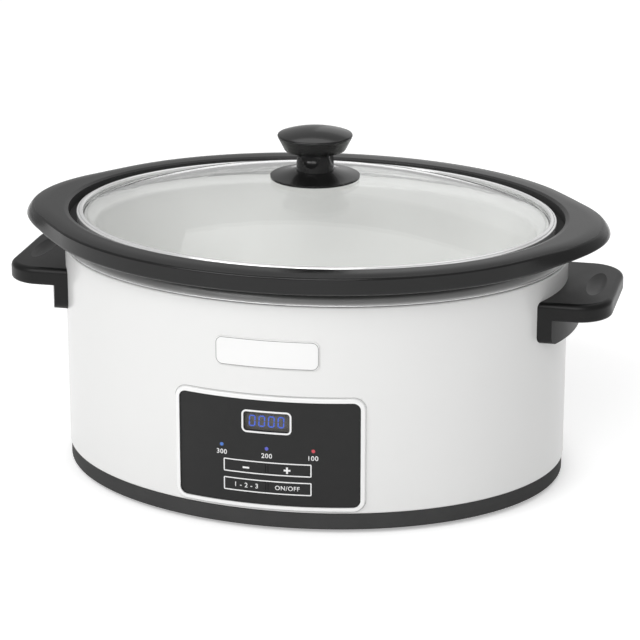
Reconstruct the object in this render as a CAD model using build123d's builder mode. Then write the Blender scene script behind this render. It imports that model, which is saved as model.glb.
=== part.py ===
from build123d import *
import math
import os

# Sizes are in millimetres. The cooker stands on z = 0, centred on its oval,
# with the control panel facing -Y.

# Clearances
fit = 0.1
slide_gap = 0.3

# Outer shell
shell_half_length = 178.0
shell_half_depth = 142.8
shell_height = 146.0
shell_wall = 1.0
shell_lip = 5.0

# Base pan
base_height = 11.6
base_floor = 2.5
base_wall = 2.5
base_edge_radius = 1.5
spigot_height = 4.0
spigot_wall = 2.0
vent_length = 70.0
vent_width = 4.0
vent_pitch = 9.0
vent_count = 5
vent_setback = 72.0

# Feet, base screws and the studs under the well
foot_height = 3.0
foot_radius = 10.0
foot_edge_radius = 1.0
foot_stem_radius = 4.0
foot_bulb_radius = 5.2
foot_bulb_height = 2.0
foot_bulb_chamfer = 0.8
foot_inset = 24.0
foot_angle = 45.0
stud_radius = 4.0
stud_inset = 36.0
stud_angle = 35.0
boss_wall = 3.0
boss_height = 6.0
base_screw_radius = 2.0
base_screw_head_radius = 4.0
base_screw_head_height = 2.5
base_screw_grip = 12.0
screw_tip_gap = 1.0

# Heating well and its collar
collar_height = 13.0
collar_radius = 8.0
well_wall = 0.8
well_gap = 2.5
well_floor_gap = 1.5
well_bottom = 36.0
well_bottom_radius = 14.0
air_gap = 10.2

# Crock
rim_height = 12.2
rim_end_overhang = 14.5
rim_side_overhang = 16.5
rim_crown_width = 11.0
rim_crown_drop = 2.0
rim_crease_radius = 0.8
rim_bottom_radius = 1.2
lug_reach = 13.0
lug_radius = 95.0
cavity_taper = 24.0
crock_wall = 7.5
crock_floor = 9.0
cavity_bottom_radius = 22.0
crock_bottom_radius = 16.0
mouth_inset = 5.5
mouth_edge_radius = 1.2

# Lid
lid_end_inset = 8.0
lid_side_inset = 6.5
lid_gap = 4.5
lid_seat_depth = 7.3
ring_width = 4.6
ring_skin = 1.0
ring_crown = 1.9
ring_crown_radius = 1.5
glass_thickness = 4.0
dome_rise = 27.0
dome_border = 6.0

# Knob
knob_base_radius = 31.4
knob_base_edge = 1.5
knob_base_height = 4.8
knob_base_droop = 0.6
knob_pad_radius = 10.0
neck_foot_radius = 14.5
neck_radius = 13.1
neck_height = 11.6
cap_under_radius = 21.4
cap_under_rise = 3.0
cap_radius = 26.8
cap_side_height = 10.5
cap_crown = 4.8
cap_edge_radius = 1.2
scallop_count = 4
scallop_radius = 12.0
scallop_depth = 3.6
scallop_rise = 0.6
knob_screw_radius = 2.5
knob_screw_head_radius = 4.8
knob_screw_head_height = 2.5
knob_screw_grip = 10.0
knob_washer_radius = 9.0
knob_washer_thickness = 1.5
knob_washer_gap = 0.2

# Handles
handle_half_width = 52.0
handle_reach = 37.0
handle_end_radius = 24.0
grip_drop = 15.1
grip_thickness = 12.5
plate_thickness = 10.0
plate_drop = 17.5
plate_corner_radius = 6.0
grip_top_radius = 4.0
grip_under_radius = 2.0
dimple_setback = 15.0
dimple_length = 52.0
dimple_width = 13.0
dimple_depth = 1.8
handle_screw_radius = 2.0
handle_screw_head_radius = 4.0
handle_screw_head_height = 2.4
handle_screw_grip = 7.0
handle_screw_spread = 30.0
handle_screw_drop = 8.5

# Control panel, its box and its board
panel_lift = 2.2
panel_width = 131.0
panel_tall = 80.4
panel_corner_radius = 8.0
bezel_border = 2.8
bezel_lap = 1.8
bezel_proud = 2.0
bezel_edge_radius = 0.8
bezel_ledge = 2.2
bezel_depth = 7.0
fascia_proud = 1.0
fascia_thickness = 2.0
panel_boss_radius = 3.5
panel_boss_inset = 4.5
panel_boss_root = 2.0
panel_screw_radius = 1.3
panel_screw_head_radius = 2.6
panel_screw_head_height = 1.6
panel_screw_grip = 3.0
board_setback = 1.8
board_thickness = 1.6
board_width = 100.0
board_tall = 64.0
board_post_radius = 3.0
board_post_height = 2.0
board_post_inset = 5.0
board_screw_radius = 1.0
board_screw_head_radius = 2.0
board_screw_head_height = 1.2
board_screw_grip = 1.5
box_wall = 1.6
shield_thickness = 0.6
opening_corner_radius = 1.0

# Display, lamps and keys
display_rise = 21.6
display_width = 31.6
display_tall = 13.0
display_lip = 2.0
display_lip_thickness = 1.0
display_bezel = 1.0
lamp_rise = 3.0
lamp_pitch = 31.6
lamp_radius = 1.5
lamp_flange = 0.8
lamp_flange_thickness = 1.0
lamp_proud = 0.2
led_size = 2.4
led_height = 1.2
key_pitch = 30.4
key_width = 28.4
key_tall = 7.0
key_side_lip = 0.5
key_lip = 1.2
key_lip_thickness = 1.2
key_stem_radius = 2.0
upper_key_drop = 11.2
lower_key_drop = 24.6
key_travel = 0.8
switch_size = 6.0
switch_height = 3.5
plunger_radius = 1.6
plunger_proud = 1.5
plunger_sunk = 1.4

# Badge plate
badge_lift = 19.7
badge_width = 71.0
badge_tall = 19.9
badge_corner_radius = 4.0
badge_thickness = 1.2
badge_edge_radius = 0.5
badge_pin_radius = 1.2
badge_pin_spread = 50.0
badge_pin_length = 4.0

# Heater, sensor and fuse
heater_rise = 10.0
heater_width = 40.0
heater_thickness = 3.0
heater_split = 14.0
strap_width = 12.0
strap_thickness = 0.8
sensor_radius = 7.0
sensor_height = 6.0
sensor_setback = 24.0
fuse_radius = 2.2
fuse_length = 14.0
fuse_setback = 52.0
clip_thickness = 1.0
clip_foot = 9.0
clip_width = 10.0

# Power supply
supply_width = 96.0
supply_tall = 58.0
supply_setback = 36.0
supply_thickness = 1.6
supply_post_height = 4.0
supply_post_radius = 4.0
supply_post_inset = 6.0
supply_screw_radius = 1.3
supply_screw_head_radius = 2.6
supply_screw_head_height = 1.6
supply_screw_grip = 3.0
relay_length = 19.0
relay_width = 15.5
relay_height = 15.0
relay_shift = 24.0
transformer_length = 22.0
transformer_width = 20.0
transformer_height = 13.0
transformer_shift = 22.0
component_edge_radius = 1.0

# Cord gland
gland_rise = 17.4
gland_bore_radius = 3.6
gland_neck_radius = 6.0
gland_flange_radius = 8.0
gland_flange_thickness = 3.0
gland_tail_radius = 6.8
gland_tail_length = 6.0

# Heights that follow from the sizes above
base_bottom = foot_height
floor_top = base_bottom + base_floor
boss_top = floor_top + boss_height
shell_bottom = base_bottom + base_height
shell_top = shell_bottom + shell_height
rim_bottom = shell_top + collar_height
rim_top = rim_bottom + rim_height
lid_seat = rim_top - lid_seat_depth
well_floor = well_bottom + well_wall
crock_bottom = well_floor + well_floor_gap
cavity_floor = crock_bottom + crock_floor
panel_height = shell_bottom + panel_lift + panel_tall / 2
badge_height = panel_height + panel_tall / 2 + badge_lift + badge_tall / 2
grip_top = shell_top - grip_drop
grip_bottom = grip_top - grip_thickness
plate_bottom = grip_bottom - plate_drop
gland_height = shell_bottom + gland_rise

# Half sizes of the ovals inside the shell and on the lid
well_outside = crock_wall + well_gap + well_wall
cavity_inset = shell_wall + air_gap + well_outside
cavity_half_length = shell_half_length - cavity_inset
cavity_half_depth = shell_half_depth - cavity_inset
lid_half_length = shell_half_length - lid_end_inset
lid_half_depth = shell_half_depth - lid_side_inset

# Outlines on the panel
fascia_width = panel_width - 2 * bezel_border
fascia_tall = panel_tall - 2 * bezel_border
fascia_corner = panel_corner_radius - bezel_border
neck_width = panel_width - 2 * bezel_lap
neck_tall = panel_tall - 2 * bezel_lap
neck_corner = panel_corner_radius - bezel_lap
box_width = neck_width + 2 * slide_gap
box_tall = neck_tall + 2 * slide_gap
box_corner = neck_corner + slide_gap


# Ellipse of the shell grown by an offset
def oval(offset, mode=Mode.ADD):
    return Ellipse(shell_half_length + offset, shell_half_depth + offset, mode=mode)


# Distance from the centre forward to the shell's oval at x
def oval_front(x, offset):
    ratio = x / (shell_half_length + offset)
    return (shell_half_depth + offset) * math.sqrt(1 - ratio**2)


# Distances forward from the centre to the layers behind the panel's side edges
board_front = oval_front(panel_width / 2, 0) - board_setback
board_back = board_front - board_thickness
box_inside = board_back - board_post_height
box_outside = box_inside - box_wall
shield_back = box_outside - shield_thickness
fascia_back = fascia_proud - fascia_thickness


# Ellipse of the crock's tapered inner wall at height z, grown by an offset
def wall_oval(z, offset):
    drop = cavity_taper * (rim_bottom - z) / (rim_bottom - cavity_floor)
    return Ellipse(cavity_half_length - drop + offset, cavity_half_depth - drop + offset)


# Ellipse of the lid's edge shrunk by an inset
def lid_oval(inset, mode=Mode.ADD):
    return Ellipse(lid_half_length - inset, lid_half_depth - inset, mode=mode)


# Plane facing forward at a distance from the centre, placed from the middle of the panel
def panel_plane(distance, x=0, rise=0):
    return Plane(origin=(x, -distance, panel_height + rise), x_dir=(1, 0, 0), z_dir=(0, -1, 0))


# Plane on the end of the shell at y, facing outward along the oval's normal
def end_plane(side, y, z):
    x = shell_half_length * math.sqrt(1 - (y / shell_half_depth) ** 2)
    normal = (side * x / shell_half_length**2, y / shell_half_depth**2, 0)
    return Plane(origin=(side * x, y, z), x_dir=(0, 0, 1), z_dir=normal)


# Four places on an oval, one in each quarter, at a parameter angle from X
def on_oval(half_length, half_depth, angle):
    x = half_length * math.cos(math.radians(angle))
    y = half_depth * math.sin(math.radians(angle))
    return [(x, y), (-x, y), (-x, -y), (x, -y)]


# Corner places of a rectangle, inset from its edges
def corners(width, tall, inset):
    return GridLocations(width - 2 * inset, tall - 2 * inset, 2, 2)


foot_places = on_oval(shell_half_length - foot_inset, shell_half_depth - foot_inset, foot_angle)
well_foot_inset = cavity_taper + stud_inset - well_outside
stud_places = on_oval(cavity_half_length - well_foot_inset, cavity_half_depth - well_foot_inset, stud_angle)
supply_corners = [
    (place.position.X, place.position.Y + supply_setback)
    for place in corners(supply_width, supply_tall, supply_post_inset).locations
]
handle_screw_height = grip_bottom - handle_screw_drop
screw_sides = (handle_screw_spread, -handle_screw_spread)
right_screw_planes = [end_plane(1, y, handle_screw_height) for y in screw_sides]
left_screw_planes = [end_plane(-1, y, handle_screw_height) for y in screw_sides]
handle_screw_planes = right_screw_planes + left_screw_planes
gland_plane = Plane(origin=(0, shell_half_depth, gland_height), x_dir=(-1, 0, 0), z_dir=(0, 1, 0))
badge_plane = Plane(origin=(0, 0, badge_height), x_dir=(1, 0, 0), z_dir=(0, -1, 0))
badge_pins = GridLocations(badge_pin_spread, 0, 2, 1)
lamp_offsets = {"high_lamp": -lamp_pitch, "low_lamp": 0, "warm_lamp": lamp_pitch}
key_places = {
    "minus": (-key_pitch / 2, -upper_key_drop),
    "plus": (key_pitch / 2, -upper_key_drop),
    "select": (-key_pitch / 2, -lower_key_drop),
    "power": (key_pitch / 2, -lower_key_drop),
}
pieces = {}

# Base pan: tray with a locating spigot, screw bosses, board posts, foot sockets and vents
boss_radius = base_screw_head_radius + slide_gap + boss_wall
spigot_inset = shell_wall + shell_lip + slide_gap
with BuildPart() as base_pan:
    with BuildSketch(Plane.XY.offset(base_bottom)):
        oval(0)
    extrude(amount=base_height)
    fillet(base_pan.edges().group_by(Axis.Z)[0], base_edge_radius)
    with BuildSketch(Plane.XY.offset(floor_top)):
        oval(-base_wall)
    extrude(amount=base_height, mode=Mode.SUBTRACT)
    with BuildSketch(Plane.XY.offset(floor_top)):
        oval(-spigot_inset)
        oval(-spigot_inset - spigot_wall, Mode.SUBTRACT)
    extrude(amount=shell_bottom + spigot_height - floor_top)
    with BuildSketch(Plane.XY.offset(shell_bottom)):
        with Locations((0, -shell_half_depth)):
            Rectangle(box_width + 2 * box_wall + 2 * slide_gap, shell_half_depth)
    extrude(amount=spigot_height, mode=Mode.SUBTRACT)
    with BuildSketch(Plane.XY.offset(floor_top)):
        with Locations(*stud_places):
            Circle(boss_radius)
    extrude(amount=boss_height)
    with BuildSketch(Plane.XY.offset(floor_top)):
        with Locations(*supply_corners):
            Circle(supply_post_radius)
    extrude(amount=supply_post_height)
    with BuildSketch(Plane.XY.offset(base_bottom)):
        with Locations(*stud_places):
            Circle(base_screw_head_radius + slide_gap)
    extrude(amount=base_screw_head_height, mode=Mode.SUBTRACT)
    with BuildSketch(Plane.XY.offset(base_bottom)):
        with Locations(*stud_places):
            Circle(base_screw_radius + fit)
    extrude(amount=base_floor + boss_height, mode=Mode.SUBTRACT)
    with BuildSketch(Plane.XY.offset(base_bottom)):
        with Locations(*foot_places):
            Circle(foot_stem_radius + fit)
        with Locations((0, -vent_setback)):
            with GridLocations(0, vent_pitch, 1, vent_count):
                SlotOverall(vent_length, vent_width)
    extrude(amount=base_floor, mode=Mode.SUBTRACT)
    with BuildSketch(Plane.XY.offset(floor_top + supply_post_height)):
        with Locations(*supply_corners):
            Circle(supply_screw_radius + fit)
    extrude(amount=-supply_screw_grip, mode=Mode.SUBTRACT)
pieces["base_pan"] = base_pan.part

# Rubber feet: pad, stem through the floor and a bulb that holds it
with BuildPart() as rubber_feet:
    with BuildSketch():
        with Locations(*foot_places):
            Circle(foot_radius)
    extrude(amount=foot_height)
    fillet(rubber_feet.edges().group_by(Axis.Z)[0], foot_edge_radius)
    with BuildSketch(Plane.XY.offset(base_bottom)):
        with Locations(*foot_places):
            Circle(foot_stem_radius)
    extrude(amount=base_floor)
    with BuildSketch(Plane.XY.offset(floor_top)):
        with Locations(*foot_places):
            Circle(foot_bulb_radius)
    extrude(amount=foot_bulb_height)
    chamfer(rubber_feet.edges().group_by(Axis.Z)[-1], foot_bulb_chamfer)
pieces["rubber_feet"] = rubber_feet.part

# Studs under the well, tapped from below
with BuildPart() as well_studs:
    with BuildSketch(Plane.XY.offset(boss_top)):
        with Locations(*stud_places):
            Circle(stud_radius)
    extrude(amount=well_bottom - boss_top)
    with BuildSketch(Plane.XY.offset(boss_top)):
        with Locations(*stud_places):
            Circle(base_screw_radius + fit)
    extrude(amount=base_screw_grip + screw_tip_gap, mode=Mode.SUBTRACT)
pieces["well_studs"] = well_studs.part

# Screws that pull the base up to the studs
with BuildPart() as base_screws:
    with BuildSketch(Plane.XY.offset(base_bottom)):
        with Locations(*stud_places):
            Circle(base_screw_head_radius)
    extrude(amount=base_screw_head_height)
    with BuildSketch(Plane.XY.offset(base_bottom)):
        with Locations(*stud_places):
            Circle(base_screw_radius)
    extrude(amount=boss_top - base_bottom + base_screw_grip)
pieces["base_screws"] = base_screws.part

# Outer shell: oval wrap with turned-in lips, panel window and fastener holes
with BuildPart() as outer_shell:
    with BuildSketch(Plane.XY.offset(shell_bottom), Plane.XY.offset(shell_top)):
        oval(0)
    loft(ruled=True)
    with BuildSketch(Plane.XY.offset(shell_bottom), Plane.XY.offset(shell_top)):
        oval(-shell_wall - shell_lip)
    loft(ruled=True, mode=Mode.SUBTRACT)
    with BuildSketch(Plane.XY.offset(shell_bottom + shell_wall), Plane.XY.offset(shell_top - shell_wall)):
        oval(-shell_wall)
    loft(ruled=True, mode=Mode.SUBTRACT)
    with BuildSketch(panel_plane(0)):
        RectangleRounded(neck_width + 2 * fit, neck_tall + 2 * fit, neck_corner + fit)
    extrude(amount=2 * shell_half_depth, mode=Mode.SUBTRACT)
    with BuildSketch(badge_plane):
        with badge_pins:
            Circle(badge_pin_radius + fit)
    extrude(amount=2 * shell_half_depth, mode=Mode.SUBTRACT)
    with BuildSketch(gland_plane):
        Circle(gland_neck_radius + fit)
    extrude(amount=2 * shell_lip, both=True, mode=Mode.SUBTRACT)
    for screw_plane in handle_screw_planes:
        with BuildSketch(screw_plane.offset(-shell_lip)):
            Circle(handle_screw_radius + slide_gap)
        extrude(amount=2 * shell_lip, mode=Mode.SUBTRACT)
pieces["outer_shell"] = outer_shell.part

# Heating well: tapered pan with a rounded collar that sits on the shell
with BuildPart() as collar_space:
    with BuildSketch(Plane.XY.offset(shell_top)):
        oval(-well_wall)
    extrude(amount=collar_height - well_wall)
    fillet(collar_space.edges().group_by(Axis.Z)[-1], collar_radius - well_wall)
with BuildPart() as well_body:
    with BuildSketch(Plane.XY.offset(well_bottom)):
        wall_oval(well_bottom, well_outside)
    with BuildSketch(Plane.XY.offset(rim_bottom)):
        wall_oval(rim_bottom, well_outside)
    loft(ruled=True)
    fillet(well_body.edges().group_by(Axis.Z)[0], well_bottom_radius)
with BuildPart() as well_space:
    with BuildSketch(Plane.XY.offset(well_floor)):
        wall_oval(well_floor, well_outside - well_wall)
    with BuildSketch(Plane.XY.offset(rim_top)):
        wall_oval(rim_top, well_outside - well_wall)
    loft(ruled=True)
    fillet(well_space.edges().group_by(Axis.Z)[0], well_bottom_radius - well_wall)
with BuildPart() as heating_well:
    with BuildSketch(Plane.XY.offset(shell_top)):
        oval(0)
    extrude(amount=collar_height)
    fillet(heating_well.edges().group_by(Axis.Z)[-1], collar_radius)
    add(collar_space.part, mode=Mode.SUBTRACT)
    add(well_body.part)
    add(well_space.part, mode=Mode.SUBTRACT)
pieces["heating_well"] = heating_well.part

# Heater band round the well, open at the back, and the strap that holds it
heater_low = well_bottom + heater_rise
heater_high = heater_low + heater_width
heater_out = well_outside + heater_thickness
with BuildPart() as heater_band:
    with BuildSketch(Plane.XY.offset(heater_low)):
        wall_oval(heater_low, heater_out)
    with BuildSketch(Plane.XY.offset(heater_high)):
        wall_oval(heater_high, heater_out)
    loft(ruled=True)
    with BuildSketch(Plane.XY.offset(heater_low)):
        wall_oval(heater_low, well_outside + fit)
    with BuildSketch(Plane.XY.offset(heater_high)):
        wall_oval(heater_high, well_outside + fit)
    loft(ruled=True, mode=Mode.SUBTRACT)
    with BuildSketch(Plane.XY.offset(heater_low)):
        with Locations((0, shell_half_depth)):
            Rectangle(heater_split, shell_half_depth)
    extrude(amount=heater_width, mode=Mode.SUBTRACT)
pieces["heater_band"] = heater_band.part

strap_low = heater_low + (heater_width - strap_width) / 2
strap_high = strap_low + strap_width
with BuildPart() as heater_strap:
    with BuildSketch(Plane.XY.offset(strap_low)):
        wall_oval(strap_low, heater_out + fit + strap_thickness)
    with BuildSketch(Plane.XY.offset(strap_high)):
        wall_oval(strap_high, heater_out + fit + strap_thickness)
    loft(ruled=True)
    with BuildSketch(Plane.XY.offset(strap_low)):
        wall_oval(strap_low, heater_out + fit)
    with BuildSketch(Plane.XY.offset(strap_high)):
        wall_oval(strap_high, heater_out + fit)
    loft(ruled=True, mode=Mode.SUBTRACT)
pieces["heater_strap"] = heater_strap.part


# Hat section that clips a component of a given half width and height to the well's floor
def hat_section(half_width, drop):
    with Locations((0, -drop - clip_thickness / 2)):
        Rectangle(2 * (half_width + clip_thickness), clip_thickness)
    with GridLocations(2 * half_width + clip_thickness, 0, 2, 1):
        with Locations((0, -(drop + clip_thickness) / 2)):
            Rectangle(clip_thickness, drop + clip_thickness)
    with GridLocations(2 * half_width + clip_foot, 0, 2, 1):
        with Locations((0, -clip_thickness / 2)):
            Rectangle(clip_foot, clip_thickness)


# Temperature sensor under the well and its bracket
with BuildPart() as temperature_sensor:
    with BuildSketch(Plane.XY.offset(well_bottom)):
        with Locations((0, -sensor_setback)):
            Circle(sensor_radius)
    extrude(amount=-sensor_height)
    fillet(temperature_sensor.edges().group_by(Axis.Z)[0], component_edge_radius)
pieces["temperature_sensor"] = temperature_sensor.part

with BuildPart() as sensor_bracket:
    with BuildSketch(Plane(origin=(0, -sensor_setback, well_bottom), x_dir=(1, 0, 0), z_dir=(0, -1, 0))):
        hat_section(sensor_radius + fit, sensor_height)
    extrude(amount=clip_width / 2, both=True)
pieces["sensor_bracket"] = sensor_bracket.part

# Thermal fuse lying under the well and its clip
fuse_plane = Plane(origin=(0, -fuse_setback, well_bottom), x_dir=(1, 0, 0), z_dir=(0, -1, 0))
with BuildPart() as thermal_fuse:
    with BuildSketch(fuse_plane):
        with Locations((0, -fuse_radius - fit)):
            Circle(fuse_radius)
    extrude(amount=fuse_length / 2, both=True)
pieces["thermal_fuse"] = thermal_fuse.part

with BuildPart() as fuse_clip:
    with BuildSketch(fuse_plane):
        hat_section(fuse_radius + fit, 2 * (fuse_radius + fit))
    extrude(amount=clip_width / 2, both=True)
pieces["fuse_clip"] = fuse_clip.part

# Power supply board on the base posts, its screws and its two large components
supply_bottom = floor_top + supply_post_height
supply_top = supply_bottom + supply_thickness
with BuildPart() as power_board:
    with BuildSketch(Plane.XY.offset(supply_bottom)):
        with Locations((0, supply_setback)):
            Rectangle(supply_width, supply_tall)
        with Locations(*supply_corners):
            Circle(supply_screw_radius + fit, mode=Mode.SUBTRACT)
    extrude(amount=supply_thickness)
pieces["power_board"] = power_board.part

with BuildPart() as power_screws:
    with BuildSketch(Plane.XY.offset(supply_top)):
        with Locations(*supply_corners):
            Circle(supply_screw_head_radius)
    extrude(amount=supply_screw_head_height)
    with BuildSketch(Plane.XY.offset(supply_top)):
        with Locations(*supply_corners):
            Circle(supply_screw_radius)
    extrude(amount=-supply_thickness - supply_screw_grip + fit)
pieces["power_screws"] = power_screws.part

with BuildPart() as power_relay:
    with BuildSketch(Plane.XY.offset(supply_top)):
        with Locations((-relay_shift, supply_setback)):
            Rectangle(relay_length, relay_width)
    extrude(amount=relay_height)
    fillet(power_relay.edges().group_by(Axis.Z)[-1], component_edge_radius)
pieces["power_relay"] = power_relay.part

with BuildPart() as power_transformer:
    with BuildSketch(Plane.XY.offset(supply_top)):
        with Locations((transformer_shift, supply_setback)):
            Rectangle(transformer_length, transformer_width)
    extrude(amount=transformer_height)
    fillet(power_transformer.edges().group_by(Axis.Z)[-1], component_edge_radius)
pieces["power_transformer"] = power_transformer.part

# Cord gland: flanged bush in the back of the shell
with BuildPart() as cord_gland:
    with BuildSketch(gland_plane.offset(fit)):
        Circle(gland_flange_radius)
    extrude(amount=gland_flange_thickness)
    chamfer(cord_gland.edges().group_by(Axis.Y)[-1], gland_flange_thickness / 3)
    gland_inside = oval_front(gland_tail_radius, -shell_wall) - fit - shell_half_depth
    with BuildSketch(gland_plane.offset(fit)):
        Circle(gland_neck_radius)
    extrude(amount=gland_inside - fit)
    with BuildSketch(gland_plane.offset(gland_inside)):
        Circle(gland_tail_radius)
    extrude(amount=-gland_tail_length)
    with BuildSketch(gland_plane):
        Circle(gland_bore_radius)
    extrude(amount=2 * (gland_tail_length + gland_flange_thickness), both=True, mode=Mode.SUBTRACT)
pieces["cord_gland"] = cord_gland.part

# Handle: curved plate against the shell, flat grip with rounded corners and a thumb dimple
dimple_axis_lift = ((dimple_width / 2) ** 2 - dimple_depth**2) / (2 * dimple_depth)
dimple_x = shell_half_length + handle_reach - dimple_setback
with BuildPart() as dimple:
    dimple_axis = (dimple_x, 0, grip_top + dimple_axis_lift)
    with BuildSketch(Plane(origin=dimple_axis, x_dir=(0, 1, 0), z_dir=(1, 0, 0))):
        with BuildLine():
            end_right = (dimple_length / 2, 0)
            end_left = (-dimple_length / 2, 0)
            low_right = (dimple_length / 2, -dimple_axis_lift)
            low_left = (-dimple_length / 2, -dimple_axis_lift)
            Line(end_left, low_left)
            ThreePointArc(low_left, (0, -dimple_axis_lift - dimple_depth), low_right)
            Line(low_right, end_right)
            Line(end_right, end_left)
        make_face()
    revolve(axis=Axis((dimple_x, 0, grip_top + dimple_axis_lift), (0, 1, 0)))

with BuildPart() as grip:
    with BuildSketch(Plane.XY.offset(grip_bottom)) as grip_outline:
        with Locations(((shell_half_length + handle_reach) / 2, 0)):
            Rectangle(shell_half_length + handle_reach, 2 * handle_half_width)
        fillet(grip_outline.vertices().group_by(Axis.X)[-1], handle_end_radius)
    extrude(amount=grip_thickness)
    fillet(grip.edges().group_by(Axis.Z)[-1], grip_top_radius)
    fillet(grip.edges().group_by(Axis.Z)[0], grip_under_radius)
with BuildPart() as right_handle:
    with BuildSketch(Plane.XY.offset(plate_bottom)):
        oval(plate_thickness)
    extrude(amount=grip_top - grip_top_radius - plate_bottom)
    with BuildSketch(Plane(origin=(0, 0, grip_top), x_dir=(0, 1, 0), z_dir=(1, 0, 0))):
        RectangleRounded(2 * handle_half_width, 2 * (grip_top - plate_bottom), plate_corner_radius)
    extrude(amount=2 * shell_half_length, mode=Mode.INTERSECT)
    add(grip.part)
    with BuildSketch(Plane.XY.offset(plate_bottom)):
        oval(fit)
    extrude(amount=grip_top, mode=Mode.SUBTRACT)
    add(dimple.part, mode=Mode.SUBTRACT)
    for screw_plane in right_screw_planes:
        with BuildSketch(screw_plane):
            Circle(handle_screw_radius + fit)
        extrude(amount=handle_screw_grip + screw_tip_gap, mode=Mode.SUBTRACT)
pieces["right_handle"] = right_handle.part

with BuildPart() as left_handle:
    mirror(right_handle.part, about=Plane.YZ)
pieces["left_handle"] = left_handle.part

# Screws from inside the shell into the handles
with BuildPart() as handle_screws:
    for screw_plane in handle_screw_planes:
        head_plane = screw_plane.offset(-shell_wall - fit)
        with BuildSketch(head_plane):
            Circle(handle_screw_head_radius)
        extrude(amount=-handle_screw_head_height)
        with BuildSketch(head_plane):
            Circle(handle_screw_radius)
        extrude(amount=shell_wall + fit + handle_screw_grip)
pieces["handle_screws"] = handle_screws.part

# Badge plate that follows the shell, with two pins through it
with BuildPart() as badge_plate:
    with BuildSketch(badge_plane):
        RectangleRounded(badge_width, badge_tall, badge_corner_radius)
    extrude(amount=2 * shell_half_depth)
    with BuildSketch():
        oval(badge_thickness + fit)
    extrude(amount=shell_top, mode=Mode.INTERSECT)
    fillet(badge_plate.faces().sort_by(Axis.Y)[0].edges(), badge_edge_radius)
    with BuildSketch():
        oval(fit)
    extrude(amount=shell_top, mode=Mode.SUBTRACT)
    pin_front = oval_front(badge_pin_spread / 2, badge_thickness / 2)
    with BuildSketch(badge_plane.offset(pin_front)):
        with badge_pins:
            Circle(badge_pin_radius)
    extrude(amount=-badge_pin_length)
pieces["badge_plate"] = badge_plate.part

# Control box behind the panel window, open to the front, with posts for the board
panel_corners = corners(neck_width, neck_tall, panel_boss_inset)
board_corners = corners(board_width, board_tall, board_post_inset)
with BuildPart() as control_box:
    with BuildSketch(panel_plane(box_outside)):
        RectangleRounded(box_width + 2 * box_wall, box_tall + 2 * box_wall, box_corner + box_wall)
    extrude(amount=shell_half_depth)
    with BuildSketch():
        oval(-shell_wall - fit)
    extrude(amount=shell_top, mode=Mode.INTERSECT)
    with BuildSketch(panel_plane(box_inside)):
        RectangleRounded(box_width, box_tall, box_corner)
    extrude(amount=shell_half_depth, mode=Mode.SUBTRACT)
    with BuildSketch(panel_plane(box_inside)):
        with board_corners:
            Circle(board_post_radius)
    extrude(amount=board_post_height)
    with BuildSketch(panel_plane(board_back)):
        with board_corners:
            Circle(board_screw_radius + fit)
    extrude(amount=-board_screw_grip - fit, mode=Mode.SUBTRACT)
    with BuildSketch(panel_plane(box_outside)):
        with panel_corners:
            Circle(panel_screw_radius + fit)
    extrude(amount=box_wall, mode=Mode.SUBTRACT)
pieces["control_box"] = control_box.part

# Heat shield on the back of the control box
with BuildPart() as heat_shield:
    with BuildSketch(panel_plane(shield_back)):
        RectangleRounded(box_width, box_tall, box_corner)
        with panel_corners:
            Circle(panel_screw_radius + fit, mode=Mode.SUBTRACT)
    extrude(amount=shield_thickness)
pieces["heat_shield"] = heat_shield.part

# Panel bezel: frame lapped over the shell, neck through the window, ledge for the fascia and screw bosses
with BuildPart() as bezel_neck:
    with BuildSketch(panel_plane(box_inside)):
        RectangleRounded(neck_width, neck_tall, neck_corner)
    extrude(amount=shell_half_depth)
    with BuildSketch():
        oval(bezel_proud / 2)
    extrude(amount=shell_top, mode=Mode.INTERSECT)
    with BuildSketch():
        oval(-bezel_depth)
    extrude(amount=shell_top, mode=Mode.SUBTRACT)
with BuildPart() as fascia_pocket:
    with BuildSketch(panel_plane(box_inside)):
        RectangleRounded(fascia_width, fascia_tall, fascia_corner)
    extrude(amount=shell_half_depth)
    with BuildSketch():
        oval(fascia_back - fit)
    extrude(amount=shell_top, mode=Mode.SUBTRACT)
with BuildPart() as panel_bezel:
    with BuildSketch(panel_plane(box_inside)):
        RectangleRounded(panel_width, panel_tall, panel_corner_radius)
    extrude(amount=shell_half_depth)
    with BuildSketch():
        oval(bezel_proud)
    extrude(amount=shell_top, mode=Mode.INTERSECT)
    fillet(panel_bezel.faces().sort_by(Axis.Y)[0].edges(), bezel_edge_radius)
    with BuildSketch():
        oval(fit)
    extrude(amount=shell_top, mode=Mode.SUBTRACT)
    add(bezel_neck.part)
    add(fascia_pocket.part, mode=Mode.SUBTRACT)
    ledge_width = fascia_width - 2 * bezel_ledge
    ledge_tall = fascia_tall - 2 * bezel_ledge
    with BuildSketch(panel_plane(box_inside)):
        RectangleRounded(ledge_width, ledge_tall, fascia_corner - bezel_ledge)
    extrude(amount=shell_half_depth, mode=Mode.SUBTRACT)
    boss_reach = oval_front(neck_width / 2 - panel_boss_inset, panel_boss_root - bezel_depth)
    with BuildSketch(panel_plane(box_inside)):
        with panel_corners:
            Circle(panel_boss_radius)
    extrude(amount=boss_reach - box_inside)
    with BuildSketch(panel_plane(box_inside)):
        with panel_corners:
            Circle(panel_screw_radius + fit)
    extrude(amount=shell_half_depth, mode=Mode.SUBTRACT)
pieces["panel_bezel"] = panel_bezel.part

# Screws through the shield and the box into the bezel
with BuildPart() as panel_screws:
    with BuildSketch(panel_plane(shield_back)):
        with panel_corners:
            Circle(panel_screw_head_radius)
    extrude(amount=-panel_screw_head_height)
    with BuildSketch(panel_plane(shield_back)):
        with panel_corners:
            Circle(panel_screw_radius)
    extrude(amount=box_inside - shield_back + panel_screw_grip)
pieces["panel_screws"] = panel_screws.part

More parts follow.
